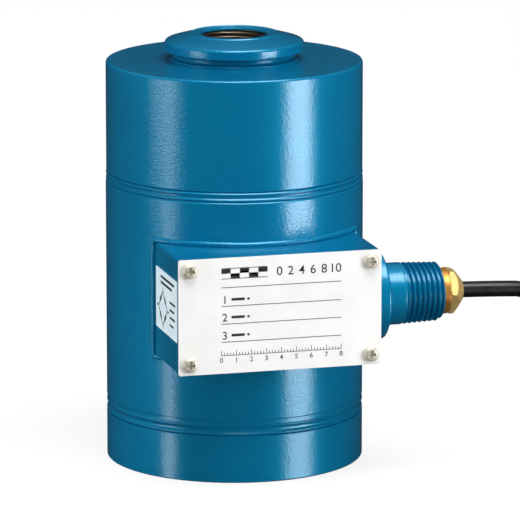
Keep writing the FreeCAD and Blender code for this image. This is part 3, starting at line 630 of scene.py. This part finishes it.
@dataclass
class Thread:
    """The skin of a screw thread about +Z, from height 0 up to its length, in millimetres.

    Attributes:
        radius: The radius of its crests where it starts.
        end_radius: The radius of its crests where it ends.
        depth: How far its roots lie inside the crests, or outside them where it is negative.
        pitch: The height of one turn.
        length: The height of the thread.
        run_out: The height over which the roots deepen from nothing.
        lead_in: The height over which its end is chamfered.
        spokes: How many steps a turn has.

    FLANKS holds one turn's outline: the share of the pitch, and the level from root to crest. The plain
    helix starts TURNS_BELOW and has SPARE_TURNS, so that both ends can be cut square.
    """

    TURNS_BELOW: ClassVar[float] = 1.5
    SPARE_TURNS: ClassVar[int] = 3
    FLANKS: ClassVar[tuple[tuple[float, float], ...]] = (
        (0.0, 0.0),
        (0.1, 0.03),
        (0.38, 0.86),
        (0.45, 1.0),
        (0.55, 1.0),
        (0.62, 0.86),
        (0.9, 0.03),
        (1.0, 0.0),
    )

    radius: float
    end_radius: float
    depth: float
    pitch: float
    length: float
    run_out: float
    lead_in: float
    spokes: int = 96

    def level(self, spoke: float, height: float) -> float:
        """Return where a point of the plain helix goes on the tapered thread.

        Args:
            spoke: Its distance from the axis.
            height: Its height.

        Returns:
            Its new distance from the axis.
        """
        drop = (self.radius - spoke) * smooth_step(height / self.run_out)
        share = min(max(height / self.length, 0.0), 1.0)
        crest = self.radius + (self.end_radius - self.radius) * share
        chamfer = max(0.0, height - self.length + self.lead_in)
        if self.depth > 0.0:
            return min(crest - drop, crest - chamfer)
        return max(crest - drop, crest + chamfer)

    def build(self) -> Work:
        """Return the open skin, cut square at both ends."""
        work = bmesh.new()
        start = -self.TURNS_BELOW * self.pitch
        flank = [
            work.verts.new((self.radius - self.depth * (1.0 - level), 0.0, start + share * self.pitch))
            for share, level in self.FLANKS
        ]
        for first, second in zip(flank, flank[1:]):
            work.edges.new((first, second))
        sweep(work, UP * self.pitch / self.spokes, self.spokes, False)
        turn = work.verts[:] + work.edges[:] + work.faces[:]
        for index in range(1, math.ceil(self.length / self.pitch) + self.SPARE_TURNS):
            copy = bmesh.ops.duplicate(work, geom=turn)["geom"]
            verts = [item for item in copy if isinstance(item, bmesh.types.BMVert)]
            bmesh.ops.translate(work, verts=verts, vec=UP * self.pitch * index)
        bmesh.ops.remove_doubles(work, verts=work.verts[:], dist=MERGE)
        for vert in work.verts:
            spoke = Vector((vert.co.x, vert.co.y, 0.0))
            vert.co = spoke.normalized() * self.level(spoke.length, vert.co.z) + UP * vert.co.z
        for height, below in ((0.0, True), (self.length, False)):
            bmesh.ops.bisect_plane(
                work,
                geom=work.verts[:] + work.edges[:] + work.faces[:],
                dist=CUT,
                plane_co=UP * height,
                plane_no=UP,
                clear_inner=below,
                clear_outer=not below,
            )
        return work


@dataclass
class LoadButton:
    """The crowned button on top, its bare tapped bore, and the seal round its neck.

    Attributes:
        foot: The height of the button's underside, in millimetres.
        neck: The neck's radius.
        edge: The head's radius.
        head: The heights of the head's underside and of its shoulder.
        roundings: The radii that round the neck's top, the head's lower edge and its shoulder.
        crown: The radius of the crown.
        mouth: The radius of the mouth's lip.
        lip: The height of the lip.
        dish: How far the ring inside the lip lies below it.
        bead: The width of each flank of the lip, and the radius that rounds it.
        crest_rise: How far the lip's sharp corner lies above the lip that rounding leaves.
        bore: The radius of the thread's crests.
        paint_edge: How far the paint keeps back from the bore, and the radius that rounds its edge.
        spigot: The column's spigot inside: its radius and the height of its top.
        pitch: The thread's pitch.
        depth: The thread's depth.
        cap_top: The height of the case's top.
        seal: The seal's outer radius, and the heights of its shoulder and its lip over the case.
        seal_reach: How far the seal goes down beside the neck.
        seal_lip: How thick its lip is.
        seal_roundings: The radii that round its outer edge, its cove and its lip.
    """

    foot: float = 112.65
    neck: float = 20.5
    edge: float = 24.0
    head: tuple[float, float] = (142.5, 145.9)
    roundings: Triple = (0.35, 0.5, 1.1)
    crown: float = 60.0
    mouth: float = 14.7
    lip: float = 148.65
    dish: float = 0.4
    bead: tuple[float, float] = (0.45, 0.25)
    crest_rise: float = 0.0625
    bore: float = 11.25
    paint_edge: tuple[float, float] = (0.125, 0.3)
    spigot: tuple[float, float] = (15.0, 126.65)
    pitch: float = 1.5
    depth: float = 0.75
    cap_top: float = 139.2
    seal: Triple = (22.5, 1.0, 2.6)
    seal_reach: float = 4.0
    seal_lip: float = 0.4
    seal_roundings: Triple = (0.45, 1.6, 0.15)

    def build(self, shop: Paintshop) -> None:
        """Make the painted button, its bare bore and the seal."""
        low, high = self.head
        flank, rounding = self.bead
        crest = self.mouth + rounding
        valley = crest + flank
        middle = (self.edge + valley) / 2
        sag = (self.edge - valley) ** 2 / (8 * self.crown)
        sleeve = self.bore + 2 * self.depth
        spigot, spigot_top = self.spigot
        paint_gap, paint_rounding = self.paint_edge
        paint = self.bore + paint_gap
        ring = self.lip - self.dish
        seat = ring - self.depth
        under_head, head_edge, shoulder = self.roundings
        section = [
            (spigot, self.foot, 0.0),
            (self.neck, self.foot, 0.0),
            (self.neck, low, under_head),
            (self.edge, low, head_edge),
            (self.edge, high, shoulder),
            (middle, (high + self.lip - flank) / 2 + sag, self.crown),
            (valley, self.lip - flank, rounding),
            (crest, self.lip + self.crest_rise, rounding),
            (crest - flank, ring, rounding),
            (paint, ring, paint_rounding),
            (paint, seat, 0.0),
            (sleeve, seat, 0.0),
            (sleeve, spigot_top, 0.0),
            (spigot, spigot_top, 0.0),
        ]
        shell = finish_piece("painted_button", Turning(section).build(), Way.UPRIGHT, ORIGIN)
        shop.place(shell, "blue_enamel", ("load_button",))
        self.build_bore(shop, spigot_top, seat, sleeve)
        self.build_seal(shop)

    def build_bore(self, shop: Paintshop, foot: float, top: float, outside: float) -> None:
        """Make the bare tapped sleeve in the button.

        Args:
            shop: The finishes.
            foot: The height of its lower end.
            top: The height of its upper end.
            outside: The radius of its outer wall.
        """
        length = top - foot
        thread = Thread(self.bore, self.bore, -self.depth, self.pitch, length, self.pitch / 2, self.depth / 2)
        work = thread.build()
        lower = grow_rim(work, rim_at(work, 0.0), outside, 0.0)
        upper = grow_rim(work, rim_at(work, length), outside, length)
        bmesh.ops.bridge_loops(work, edges=lower + upper)
        sleeve = finish_piece("tapped_bore", work, Way.UPRIGHT, UP * foot)
        shop.place(sleeve, "machined_steel")

    def build_seal(self, shop: Paintshop) -> None:
        """Make the ring of sealing compound round the neck, sprayed over with the case."""
        outside, shoulder, lip = self.seal
        edge_rounding, cove, lip_rounding = self.seal_roundings
        foot = self.cap_top - self.seal_reach
        inside = self.neck + self.seal_lip
        section = [
            (self.neck, foot, 0.0),
            (outside, foot, 0.0),
            (outside, self.cap_top + shoulder, edge_rounding),
            (inside, self.cap_top + shoulder, cove),
            (inside, self.cap_top + lip, lip_rounding),
            (self.neck, self.cap_top + lip, 0.0),
        ]
        seal = finish_piece("seal_cove", Turning(section).build(), Way.UPRIGHT, ORIGIN)
        shop.place(seal, "blue_enamel", ("neck_seal",))


@dataclass
class ConduitNipple:
    """The pipe stub of the cable entry, with its helical taper thread.

    Attributes:
        radius: The pipe's radius.
        end_radius: The radius of the last crest.
        depth: The thread's depth.
        pitch: The thread's pitch.
        thread: The thread's length.
        bore: The radius of the bore that the gland sits in, and its depth.
        way: The radius of the wires' way behind it.
        chamfer: The height of the chamfer at the thread's end, as a share of its depth.
        spokes: How many steps a turn has.
    """

    radius: float = 10.65
    end_radius: float = 10.05
    depth: float = 1.35
    pitch: float = 1.814
    thread: float = 14.5
    bore: tuple[float, float] = (7.0, 10.0)
    way: float = 5.0
    chamfer: float = 0.7
    spokes: int = 128

    def build(self, shop: Paintshop) -> None:
        """Make the pipe between the node's ends and paint it."""
        low, high, middle = node_box("conduit_nipple")
        neck = high.x - low.x - self.thread
        seat, reach = self.bore
        skin = Thread(
            self.radius,
            self.end_radius,
            self.depth,
            self.pitch,
            self.thread,
            run_out=self.pitch,
            lead_in=self.depth * self.chamfer,
            spokes=self.spokes,
        )
        work = skin.build()
        inner = grow_rim(work, rim_at(work, 0.0), self.radius, -neck)
        shelf = self.thread - reach
        for radius, height in ((self.way, -neck), (self.way, shelf), (seat, shelf)):
            inner = grow_rim(work, inner, radius, height)
        mouth = grow_rim(work, rim_at(work, self.thread), seat, self.thread)
        bmesh.ops.bridge_loops(work, edges=inner + mouth)
        pipe = finish_piece("threaded_pipe", work, Way.ALONG_X, Vector((low.x + neck, middle.y, middle.z)))
        shop.place(pipe, "blue_enamel", ("conduit_nipple",))


@dataclass
class WeldBead:
    """A weld bead laid by hand and painted over: low puddles in a row that wanders about a closed path.

    Attributes:
        name: The piece's name.
        path: Points along its path, in millimetres.
        radius: The bead's radius.
        puddle: The length of one puddle.
        swell: How much wider a puddle's middle is than its ends, as a share of the radius.
        wander: How far the bead strays from its path.
        bend: The length over which it strays one way.
        steps: How many points a puddle has.
        easings: How often the path's corners are eased.
    """

    name: str
    path: list[Vector]
    radius: float = 1.05
    puddle: float = 2.4
    swell: float = 0.06
    wander: float = 0.2
    bend: float = 9.0
    steps: int = 6
    easings: int = 2

    def spaced(self) -> list[Vector]:
        """Return points at even steps along the closed path, its corners eased."""
        legs = list(zip(self.path, self.path[1:] + self.path[:1]))
        total = sum((after - before).length for before, after in legs)
        count = self.steps * round(total / self.puddle)
        step = total / count
        points = []
        left = 0.0
        for before, after in legs:
            run = (after - before).length
            while left < run and len(points) < count:
                points.append(before.lerp(after, left / run))
                left += step
            left -= run
        for _ in range(self.easings):
            following = points[1:] + points[:1]
            earlier = points[-1:] + points[:-1]
            points = [(here * 2 + first + last) / 4 for here, first, last in zip(points, earlier, following)]
        return points

    def build(self, shop: Paintshop, replaces: str) -> None:
        """Make the bead as a closed tube whose thickness follows the puddles.

        Args:
            shop: The finishes.
            replaces: The frame's node that it stands for.
        """
        points = self.spaced()
        curve = bpy.data.curves.new(self.name, "CURVE")
        curve.dimensions = "3D"
        curve.bevel_depth = self.radius * MM
        curve.bevel_resolution = 4
        spline = curve.splines.new("POLY")
        spline.points.add(len(points) - 1)
        spline.use_cyclic_u = True
        for index, (point, place) in enumerate(zip(spline.points, points)):
            stray = noise.noise_vector(place / self.bend) * self.wander
            point.co = (*((place + stray) * MM), 1.0)
            crown = 1.0 - (2.0 * (index % self.steps) / self.steps - 1.0) ** 2
            point.radius = 1.0 - self.swell + self.swell * (crown + noise.noise(place / self.puddle / 2))
        mesh = bpy.data.meshes.new_from_object(bpy.data.objects.new("bead_path", curve))
        mesh.name = self.name
        bead = bpy.data.objects.new(self.name, mesh)
        shop.place(bead, "blue_enamel", (replaces,))


@dataclass
class Welds:
    """The beads that join the box to the case and the pipe to its flange.

    Attributes:
        case_radius: The case's radius, in millimetres.
        box_side: Half the box's width, out to the middle of the bead.
        box_height: The heights of the bead under the box and over it.
        arc_steps: How many points the path has across the box.
        pipe_radius: The radius of the pipe's bead.
        seed: The number that fixes how the beads stray, so that each run lays the same ones.
    """

    case_radius: float = 44.5
    box_side: float = 35.65
    box_height: tuple[float, float] = (42.4, 83.1)
    arc_steps: int = 36
    pipe_radius: float = 10.75
    seed: int = 7

    def box_path(self) -> list[Vector]:
        """Return the line where the box meets the round case, once round."""
        reach = math.asin(self.box_side / self.case_radius)
        points = []
        for height, turn in zip(self.box_height, (1.0, -1.0)):
            for index in range(self.arc_steps + 1):
                angle = turn * reach * (2.0 * index / self.arc_steps - 1.0)
                spoke = Vector((math.sin(angle), -math.cos(angle), 0.0))
                points.append(spoke * self.case_radius + UP * height)
        return points

    def pipe_path(self) -> list[Vector]:
        """Return the circle where the pipe meets its flange."""
        low, _, middle = node_box("conduit_nipple")
        centre = Vector((low.x, middle.y, middle.z))
        spoke = Vector((0.0, self.pipe_radius, 0.0))
        angles = (math.tau * index / self.arc_steps for index in range(self.arc_steps))
        return [centre + Matrix.Rotation(angle, 3, "X") @ spoke for angle in angles]

    def build(self, shop: Paintshop) -> None:
        """Lay both beads, the pipe's thicker and rougher than the box's."""
        noise.seed_set(self.seed)
        WeldBead("case_bead", self.box_path()).build(shop, "box_weld")
        rough = {"radius": 1.3, "puddle": 1.9, "swell": 0.4, "wander": 0.7, "bend": 3.0}
        WeldBead("pipe_bead", self.pipe_path(), **rough).build(shop, "nipple_weld")


class Printing:
    """Flat printed marks, drawn in the XY plane in millimetres and raised off it.

    DIGIT_HEIGHT is the height of a digit as a share of the font's size, and BOLDNESS how far the edges
    of its strokes are moved outwards.
    """

    DIGIT_HEIGHT: ClassVar[float] = 0.7
    BOLDNESS: ClassVar[float] = 0.02

    def __init__(self, thickness: float = 0.03) -> None:
        """Start a print whose ink is this thick."""
        self.thickness = thickness
        self.work = bmesh.new()

    def bar(self, middle: tuple[float, float], size: tuple[float, float], turn: float = 0.0) -> None:
        """Add a bar.

        Args:
            middle: Where its middle lies.
            size: Its length and width.
            turn: How far it is turned, in degrees.
        """
        matrix = Matrix.Translation((*middle, 0.0)) @ Matrix.Rotation(math.radians(turn), 4, "Z")
        matrix @= Matrix.Diagonal((*size, 1.0, 1.0))
        bmesh.ops.create_grid(self.work, x_segments=1, y_segments=1, size=0.5, matrix=matrix)

    def numeral(self, words: str, middle: tuple[float, float], height: float) -> None:
        """Add a plain numeral.

        Args:
            words: The digits.
            middle: Where the middle of the numeral lies.
            height: How tall its digits are.
        """
        curve = bpy.data.curves.new("numeral", "FONT")
        curve.body = words
        curve.size = height / self.DIGIT_HEIGHT
        curve.offset = self.BOLDNESS
        curve.align_x = "CENTER"
        flat = bpy.data.meshes.new_from_object(bpy.data.objects.new("numeral", curve))
        flat.transform(Matrix.Translation((middle[0], middle[1] - height / 2, 0.0)))
        self.work.from_mesh(flat)

    def build(self, name: str, way: Way, place: Vector) -> bpy.types.Object:
        """Raise the marks off the surface and turn them onto it.

        Args:
            name: The piece's name.
            way: How the print is turned.
            place: Where its middle goes, in millimetres.

        Returns:
            The print.
        """
        bmesh.ops.remove_doubles(self.work, verts=self.work.verts[:], dist=MERGE)
        for face in self.work.faces:
            if face.normal.z < 0.0:
                face.normal_flip()
        bmesh.ops.solidify(self.work, geom=self.work.faces[:], thickness=-self.thickness)
        return finish_piece(name, self.work, way, place)


@dataclass
class PlatePrint:
    """The marks on the cover plate: a bold scale bar, a row of numerals, ruled lines and a fine rule.

    Attributes:
        left: How far the marks start from the middle of the plate, in millimetres.
        right: How far they reach on the other side.
        header: How far the header lies above the middle.
        line_heights: How far the ruled lines lie above the middle.
        rule_height: How far the base of the fine rule lies above the middle.
        line_width: How thick the lines are.
        rise: The height of the numerals on the lines.
        lift: How far what stands on a line is off it.
        item_places: How far a line's numeral, bar and square lie from its start.
        item_sizes: The sizes of that bar and of the square.
        blocks: How many blocks the scale bar has.
        block: The size of a block.
        frame: How far the lines along the scale bar lie from its middle.
        numerals: How many numerals stand beside it.
        numeral_places: How far the first of them lies from the start, and each from the one before.
        numeral_height: How tall they are.
        ticks: How many ticks the fine rule has.
        tick_group: How many steps lie between two long ticks.
        tick_heights: The heights of its long and short ticks.
        rule_width: How thick its strokes are.
        rule_numerals: The height of its numerals, and how far their middles lie below its base.
    """

    left: float = -20.6
    right: float = 21.2
    header: float = 14.5
    line_heights: tuple[float, ...] = (9.75, 3.35, -2.75, -8.95)
    rule_height: float = -13.6
    line_width: float = 0.24
    rise: float = 2.7
    lift: float = 0.9
    item_places: Triple = (1.2, 5.8, 9.4)
    item_sizes: tuple[tuple[float, float], ...] = ((4.6, 0.9), (0.8, 0.8))
    blocks: int = 5
    block: tuple[float, float] = (3.2, 1.6)
    frame: float = 1.75
    numerals: int = 6
    numeral_places: tuple[float, float] = (20.2, 3.9)
    numeral_height: float = 3.0
    ticks: int = 41
    tick_group: int = 5
    tick_heights: tuple[float, float] = (1.7, 0.9)
    rule_width: float = 0.2
    rule_numerals: tuple[float, float] = (1.7, 1.6)

    def build(self, shop: Paintshop) -> None:
        """Print the plate."""
        marks = Printing()
        self.print_header(marks)
        self.print_lines(marks)
        self.print_rule(marks)
        low, _, middle = node_box("name_plate")
        ink = marks.build("plate_print", Way.TO_FRONT, Vector((middle.x, low.y, middle.z)))
        shop.place(ink, "sleeve_film", finish="plate_ink")

    def full_line(self, marks: Printing, height: float, width: float) -> None:
        """Add a line across all of the marks, at a height and with a width."""
        marks.bar(((self.left + self.right) / 2, height), (self.right - self.left, width))

    def print_header(self, marks: Printing) -> None:
        """Add the chequered scale bar between its two lines, and the numerals beside it."""
        length, width = self.block
        for index in range(self.blocks):
            offset = width / 2 if index % 2 == 0 else -width / 2
            marks.bar((self.left + length * (index + 0.5), self.header + offset), self.block)
        whole = length * self.blocks
        for offset in (self.frame, -self.frame):
            marks.bar((self.left + whole / 2, self.header + offset), (whole, self.line_width))
        first, spacing = self.numeral_places
        for index in range(self.numerals):
            place = (self.left + first + spacing * index, self.header)
            marks.numeral(str(2 * index), place, self.numeral_height)

    def print_lines(self, marks: Printing) -> None:
        """Add the ruled lines, with a numeral, a bar and a square on each but the first."""
        numeral, *shapes = self.item_places
        for index, height in enumerate(self.line_heights):
            self.full_line(marks, height, self.line_width)
            if index > 0:
                level = height + self.lift + self.rise / 2
                marks.numeral(str(index), (self.left + numeral, level), self.rise)
                for along, size in zip(shapes, self.item_sizes):
                    marks.bar((self.left + along, level), size)

    def print_rule(self, marks: Printing) -> None:
        """Add the fine rule with a numeral under each long tick."""
        long_tick, short_tick = self.tick_heights
        size, drop = self.rule_numerals
        for index in range(self.ticks):
            is_long = index % self.tick_group == 0
            tall = long_tick if is_long else short_tick
            x = self.left + (self.right - self.left) * index / (self.ticks - 1)
            marks.bar((x, self.rule_height + tall / 2), (self.rule_width, tall))
            if is_long:
                marks.numeral(str(index // self.tick_group), (x, self.rule_height - drop), size)
        self.full_line(marks, self.rule_height, self.rule_width)


@dataclass
class LabelPrint:
    """The marks on the side label: the diamond of a gauge bridge, its leads and a few bars.

    Attributes:
        side: The length of a bridge arm, in millimetres.
        centre: Where the bridge's middle lies on the label.
        line: How thick the lines are.
        gauge: The size of the block on each arm.
        leads: The lengths of the leads to the sides and of those up and down.
        stacks: Bars in rows: where the first starts, how far apart they are, how thick, and their lengths.

    ARMS holds each arm's place, as shares of the bridge's reach, and its turn in degrees.
    """

    ARMS: ClassVar[tuple[Triple, ...]] = (
        (-0.5, 0.5, 45.0),
        (0.5, 0.5, -45.0),
        (0.5, -0.5, 45.0),
        (-0.5, -0.5, -45.0),
    )

    side: float = 8.4
    centre: tuple[float, float] = (-4.6, -2.4)
    line: float = 0.5
    gauge: tuple[float, float] = (2.8, 1.4)
    leads: tuple[float, float] = (2.0, 1.2)
    stacks: tuple[tuple, ...] = (
        ((-7.5, 8.2), 2.0, 0.9, (18.0, 15.0)),
        ((4.6, 1.6), 2.6, 0.8, (7.5, 6.0, 7.0, 5.0)),
    )

    def build(self, shop: Paintshop) -> None:
        """Print the label."""
        marks = Printing()
        x, y = self.centre
        reach = self.side / math.sqrt(2.0)
        for across, up, turn in self.ARMS:
            for size in ((self.side, self.line), self.gauge):
                marks.bar((x + across * reach, y + up * reach), size, turn)
        level_lead, upright_lead = self.leads
        for direction in (-1.0, 1.0):
            marks.bar((x + direction * (reach + level_lead / 2), y), (level_lead, self.line))
            marks.bar((x, y + direction * (reach + upright_lead / 2)), (self.line, upright_lead))
        for (start, top), spacing, width, lengths in self.stacks:
            for index, length in enumerate(lengths):
                marks.bar((start + length / 2, top - spacing * index), (length, width))
        low, _, middle = node_box("side_label")
        ink = marks.build("label_print", Way.TO_LEFT, Vector((low.x, middle.y, middle.z)))
        shop.place(ink, "sleeve_film", finish="plate_ink")


@dataclass
class Photographer:
    """The camera at the photograph's viewing angle.

    Attributes:
        place: Where the lens stands, in millimetres.
        aim: The point that it looks at, in millimetres.
        lens: The focal length for a sensor 36 mm wide.
    """

    place: tuple[float, float, float] = (-440.1, -1642.1, 431.9)
    aim: tuple[float, float, float] = (8.6, -2.2, 68.4)
    lens: float = 346.7

    def build(self) -> None:
        """Make the camera and use it."""
        data = bpy.data.cameras.new("photo_camera")
        data.lens = self.lens
        camera = add_object("photo_camera", data)
        camera.location = Vector(self.place) * MM
        camera.rotation_euler = (Vector(self.aim) - Vector(self.place)).to_track_quat("-Z", "Y").to_euler()
        bpy.context.scene.camera = camera


@dataclass
class Lead:
    """The cable outside the gland: a run down to the floor, a wound coil and a tail on top of it.

    Attributes:
        diameter: The jacket's diameter, in millimetres.
        route: The listed points of the run from the nut to the coil.
        mean_diameter: The coil's diameter at the middle of its turns.
        start: The angle where the coil starts, in degrees.
        columns: How many turns lie side by side.
        layers: How many turns lie on each other.
        floor_gap: How far the ties hold the lowest turns off the floor.
        step: The angle between the points of a turn, in degrees.
        shift: The angle over which the cable moves from one column of turns to the next.
        tail_end: The angle where the jacket ends, in degrees.
        climb: How many times faster than along the whole tail the cable climbs onto the coil.
        slack: The small gap under the tail where its sleeve lies on the coil.

    TURN is a whole turn in degrees.
    """

    TURN: ClassVar[float] = 360.0

    diameter: float = 5.5
    route: tuple[Triple, ...] = (
        (68.9, -42.5, 63.0),
        (82.0, -42.5, 62.6),
        (96.0, -42.5, 61.7),
        (118.0, -42.5, 43.5),
        (128.5, -42.5, 17.0),
        (147.0, -42.5, 3.75),
        (168.0, -42.5, 3.75),
    )
    mean_diameter: float = 56.0
    start: float = -90.0
    columns: int = 3
    layers: int = 6
    floor_gap: float = 1.0
    step: float = 15.0
    shift: float = 120.0
    tail_end: float = 35.0
    climb: float = 1.6
    slack: float = 0.35

    def turn_points(self) -> list[Triple]:
        """Work out the coil's turns: columns wound up, down and up again, then the tail.

        Returns:
            The points in millimetres, from the end of the run.
        """
        middle = (self.columns - 1) / 2
        radii = [self.mean_diameter / 2 + (middle - column) * self.diameter for column in range(self.columns)]
        low = self.floor_gap + self.diameter / 2
        high = low + (self.layers - 1) * self.diameter
        winding = self.TURN * (self.layers - 1)
        stretch = winding + self.shift
        end = self.columns * stretch - self.shift
        tail = self.TURN * math.ceil((self.start + end - self.tail_end) / self.TURN) + self.tail_end
        centre = Vector((self.route[-1][0], self.route[-1][1] + radii[0], 0.0))
        points = []
        for index in range(1, round((tail - self.start) / self.step) + 1):
            turned = index * self.step
            column = min(int(turned // stretch), self.columns - 1)
            along = turned - column * stretch
            rise = min(along / winding, 1.0)
            level = low + (high - low) * (rise if column % 2 == 0 else 1.0 - rise)
            moved = max(0.0, (along - winding) / self.shift)
            radius = radii[column]
            if column < self.columns - 1:
                radius += (radii[column + 1] - radius) * smooth_step(moved)
            else:
                climbed = smooth_step((turned - end) / (tail - self.start - end) * self.climb)
                radius += (self.mean_diameter / 2 - radius) * climbed
                level += (self.diameter + self.slack) * climbed
            angle = math.radians(self.start + turned)
            points.append(tuple(centre + Vector((radius * math.cos(angle), radius * math.sin(angle), level))))
        return points

    def build(self, shop: Paintshop) -> None:
        points = list(self.route) + self.turn_points()
        curve = bpy.data.curves.new("lead_wire", "CURVE")
        curve.dimensions = "3D"
        curve.resolution_u = 4
        curve.bevel_depth = self.diameter / 2 * MM
        curve.bevel_resolution = 5
        curve.use_fill_caps = True
        spline = curve.splines.new("NURBS")
        spline.points.add(len(points) - 1)
        for point, place in zip(spline.points, points):
            point.co = (*(value * MM for value in place), 1.0)
        spline.order_u = 3
        spline.use_endpoint_u = True
        cable = bpy.data.objects.new("lead_wire", curve)
        shop.place(cable, "cable_jacket", ("lead_cable", "cable_coil", "cable_tail"))


@dataclass(frozen=True)
class Softbox:
    """A soft lamp that faces the cell.

    Attributes:
        name: The lamp's name.
        azimuth: The direction that it stands in, in degrees from +X towards +Y.
        distance: How far it stands from the cell's axis, in millimetres.
        height: The height of its middle, in millimetres.
        size: Its width and height, in millimetres.
        radiance: How bright its face is, where 1 is white.
        aim_height: The height of the point on the cell's axis that it faces.
        mirrored: Whether it shows in reflections, which a lamp that only fills the shadows does not.
    """

    name: str
    azimuth: float
    distance: float
    height: float
    size: tuple[float, float]
    radiance: float
    aim_height: float
    mirrored: bool = True

    def build(self) -> None:
        """Make the lamp."""
        turn = math.radians(self.azimuth)
        place = Vector((self.distance * math.cos(turn), self.distance * math.sin(turn), self.height))
        aim = UP * self.aim_height
        data = bpy.data.lights.new(self.name, "AREA")
        data.shape = "RECTANGLE"
        data.size = self.size[0] * MM
        data.size_y = self.size[1] * MM
        data.energy = self.radiance * math.pi * data.size * data.size_y
        lamp = add_object(self.name, data)
        lamp.location = place * MM
        lamp.rotation_euler = (aim - place).to_track_quat("-Z", "Y").to_euler()
        lamp.visible_camera = False
        lamp.visible_glossy = self.mirrored


@dataclass
class Studio:
    """The floor, the lamps and the plain surroundings.

    Attributes:
        floor_size: The side of the floor, in millimetres.
        floor_colour: Its colour, as sRGB hex.
        floor_seen: The colour that the camera sees it in.
        floor_white: The share of plain white that the camera sees in the floor, over its shadows.
        sky_low: How bright the surroundings are up to the ceiling, where 1 is white.
        sky_high: How bright the ceiling is overhead.
        ceiling: The upward share of the direction where the ceiling starts to brighten.
        lamps: The softboxes.
    """

    floor_size: float = 12000.0
    floor_colour: str = "#b4b4b4"
    floor_seen: str = WHITE
    floor_white: float = 0.8
    sky_low: float = 0.02
    sky_high: float = 0.35
    ceiling: float = 0.5
    lamps: tuple[Softbox, ...] = (
        Softbox("left_strip_low", 194.5, 1400.0, -450.0, (260.0, 400.0), 5.2, -450.0),
        Softbox("left_strip_high", 194.5, 1400.0, -25.0, (260.0, 450.0), 0.9, -25.0),
        Softbox("left_softbox", 192.0, 1500.0, 25.0, (760.0, 350.0), 3.3, 25.0),
        Softbox("left_top_fill", 192.0, 1500.0, 515.0, (760.0, 630.0), 3.4, 515.0, False),
        Softbox("left_fill", 165.0, 1500.0, 500.0, (1200.0, 1200.0), 3.0, 330.0, False),
        Softbox("right_softbox_low", -45.5, 1400.0, -490.0, (600.0, 500.0), 5.0, -490.0),
        Softbox("right_softbox", -45.5, 1400.0, -20.0, (600.0, 440.0), 9.8, -20.0),
        Softbox("right_top_fill", -45.5, 1400.0, 500.0, (600.0, 600.0), 10.0, 500.0, False),
        Softbox("front_softbox", -78.0, 720.0, 1940.0, (1700.0, 1100.0), 7.4, 70.0),
        Softbox("back_fill", 75.0, 1500.0, 500.0, (1200.0, 1000.0), 1.0, 200.0, False),
    )

    def build(self) -> None:
        """Make the floor, the world and the lamps."""
        self.make_floor()
        self.make_world()
        for lamp in self.lamps:
            lamp.build()

    def make_floor(self) -> None:
        """Make the plain pale floor, which the reflections look past."""
        work = bmesh.new()
        bmesh.ops.create_grid(work, x_segments=1, y_segments=1, size=self.floor_size * MM / 2)
        mesh = bpy.data.meshes.new("studio_floor")
        work.to_mesh(mesh)
        work.free()
        floor = add_object("studio_floor", mesh)
        floor.visible_glossy = False
        material = bpy.data.materials.new("studio_floor")
        tree = fresh_tree(material)
        seen = add_node(tree, "ShaderNodeLightPath", {}).outputs["Is Camera Ray"]
        colour = add_node(
            tree,
            "ShaderNodeMixRGB",
            {"Color1": linear(self.floor_colour), "Color2": linear(self.floor_seen)},
            {"Fac": seen},
        )
        matt = add_node(tree, "ShaderNodeBsdfDiffuse", {}, {"Color": colour.outputs["Color"]})
        white = add_node(tree, "ShaderNodeEmission", {"Color": linear(WHITE), "Strength": 1.0})
        share = add_node(tree, "ShaderNodeMath", {"operation": "MULTIPLY", 1: self.floor_white}, {0: seen})
        mixed = add_node(
            tree,
            "ShaderNodeMixShader",
            {},
            {0: share.outputs["Value"], 1: matt.outputs["BSDF"], 2: white.outputs["Emission"]},
        )
        add_node(tree, "ShaderNodeOutputMaterial", {}, {"Surface": mixed.outputs["Shader"]})
        mesh.materials.append(material)

    def make_world(self) -> None:
        """Make the surroundings: a dark room whose ceiling throws back some light."""
        world = bpy.data.worlds.new("studio_world")
        tree = fresh_tree(world)
        way = add_node(tree, "ShaderNodeTexCoord", {}).outputs["Generated"]
        rise = add_node(tree, "ShaderNodeSeparateXYZ", {}, {"Vector": way})
        strength = add_node(
            tree,
            "ShaderNodeMapRange",
            {"From Min": self.ceiling, "From Max": 1.0, "To Min": self.sky_low, "To Max": self.sky_high},
            {"Value": rise.outputs["Z"]},
        )
        fill = add_node(
            tree,
            "ShaderNodeBackground",
            {"Color": linear(WHITE)},
            {"Strength": strength.outputs["Result"]},
        )
        add_node(tree, "ShaderNodeOutputWorld", {}, {"Surface": fill.outputs["Background"]})
        bpy.context.scene.world = world


def main() -> None:
    """Build the camera, the lead, the pieces and the studio."""
    logging.basicConfig(level=logging.INFO, format="%(name)s: %(message)s")
    bpy.context.scene.view_settings.view_transform = "Standard"
    Photographer().build()
    shop = Paintshop()
    Lead().build(shop)
    shop.dress_frame()
    LoadButton().build(shop)
    ConduitNipple().build(shop)
    Welds().build(shop)
    PlatePrint().build(shop)
    LabelPrint().build(shop)
    Studio().build()


if __name__ == "__main__":
    main()
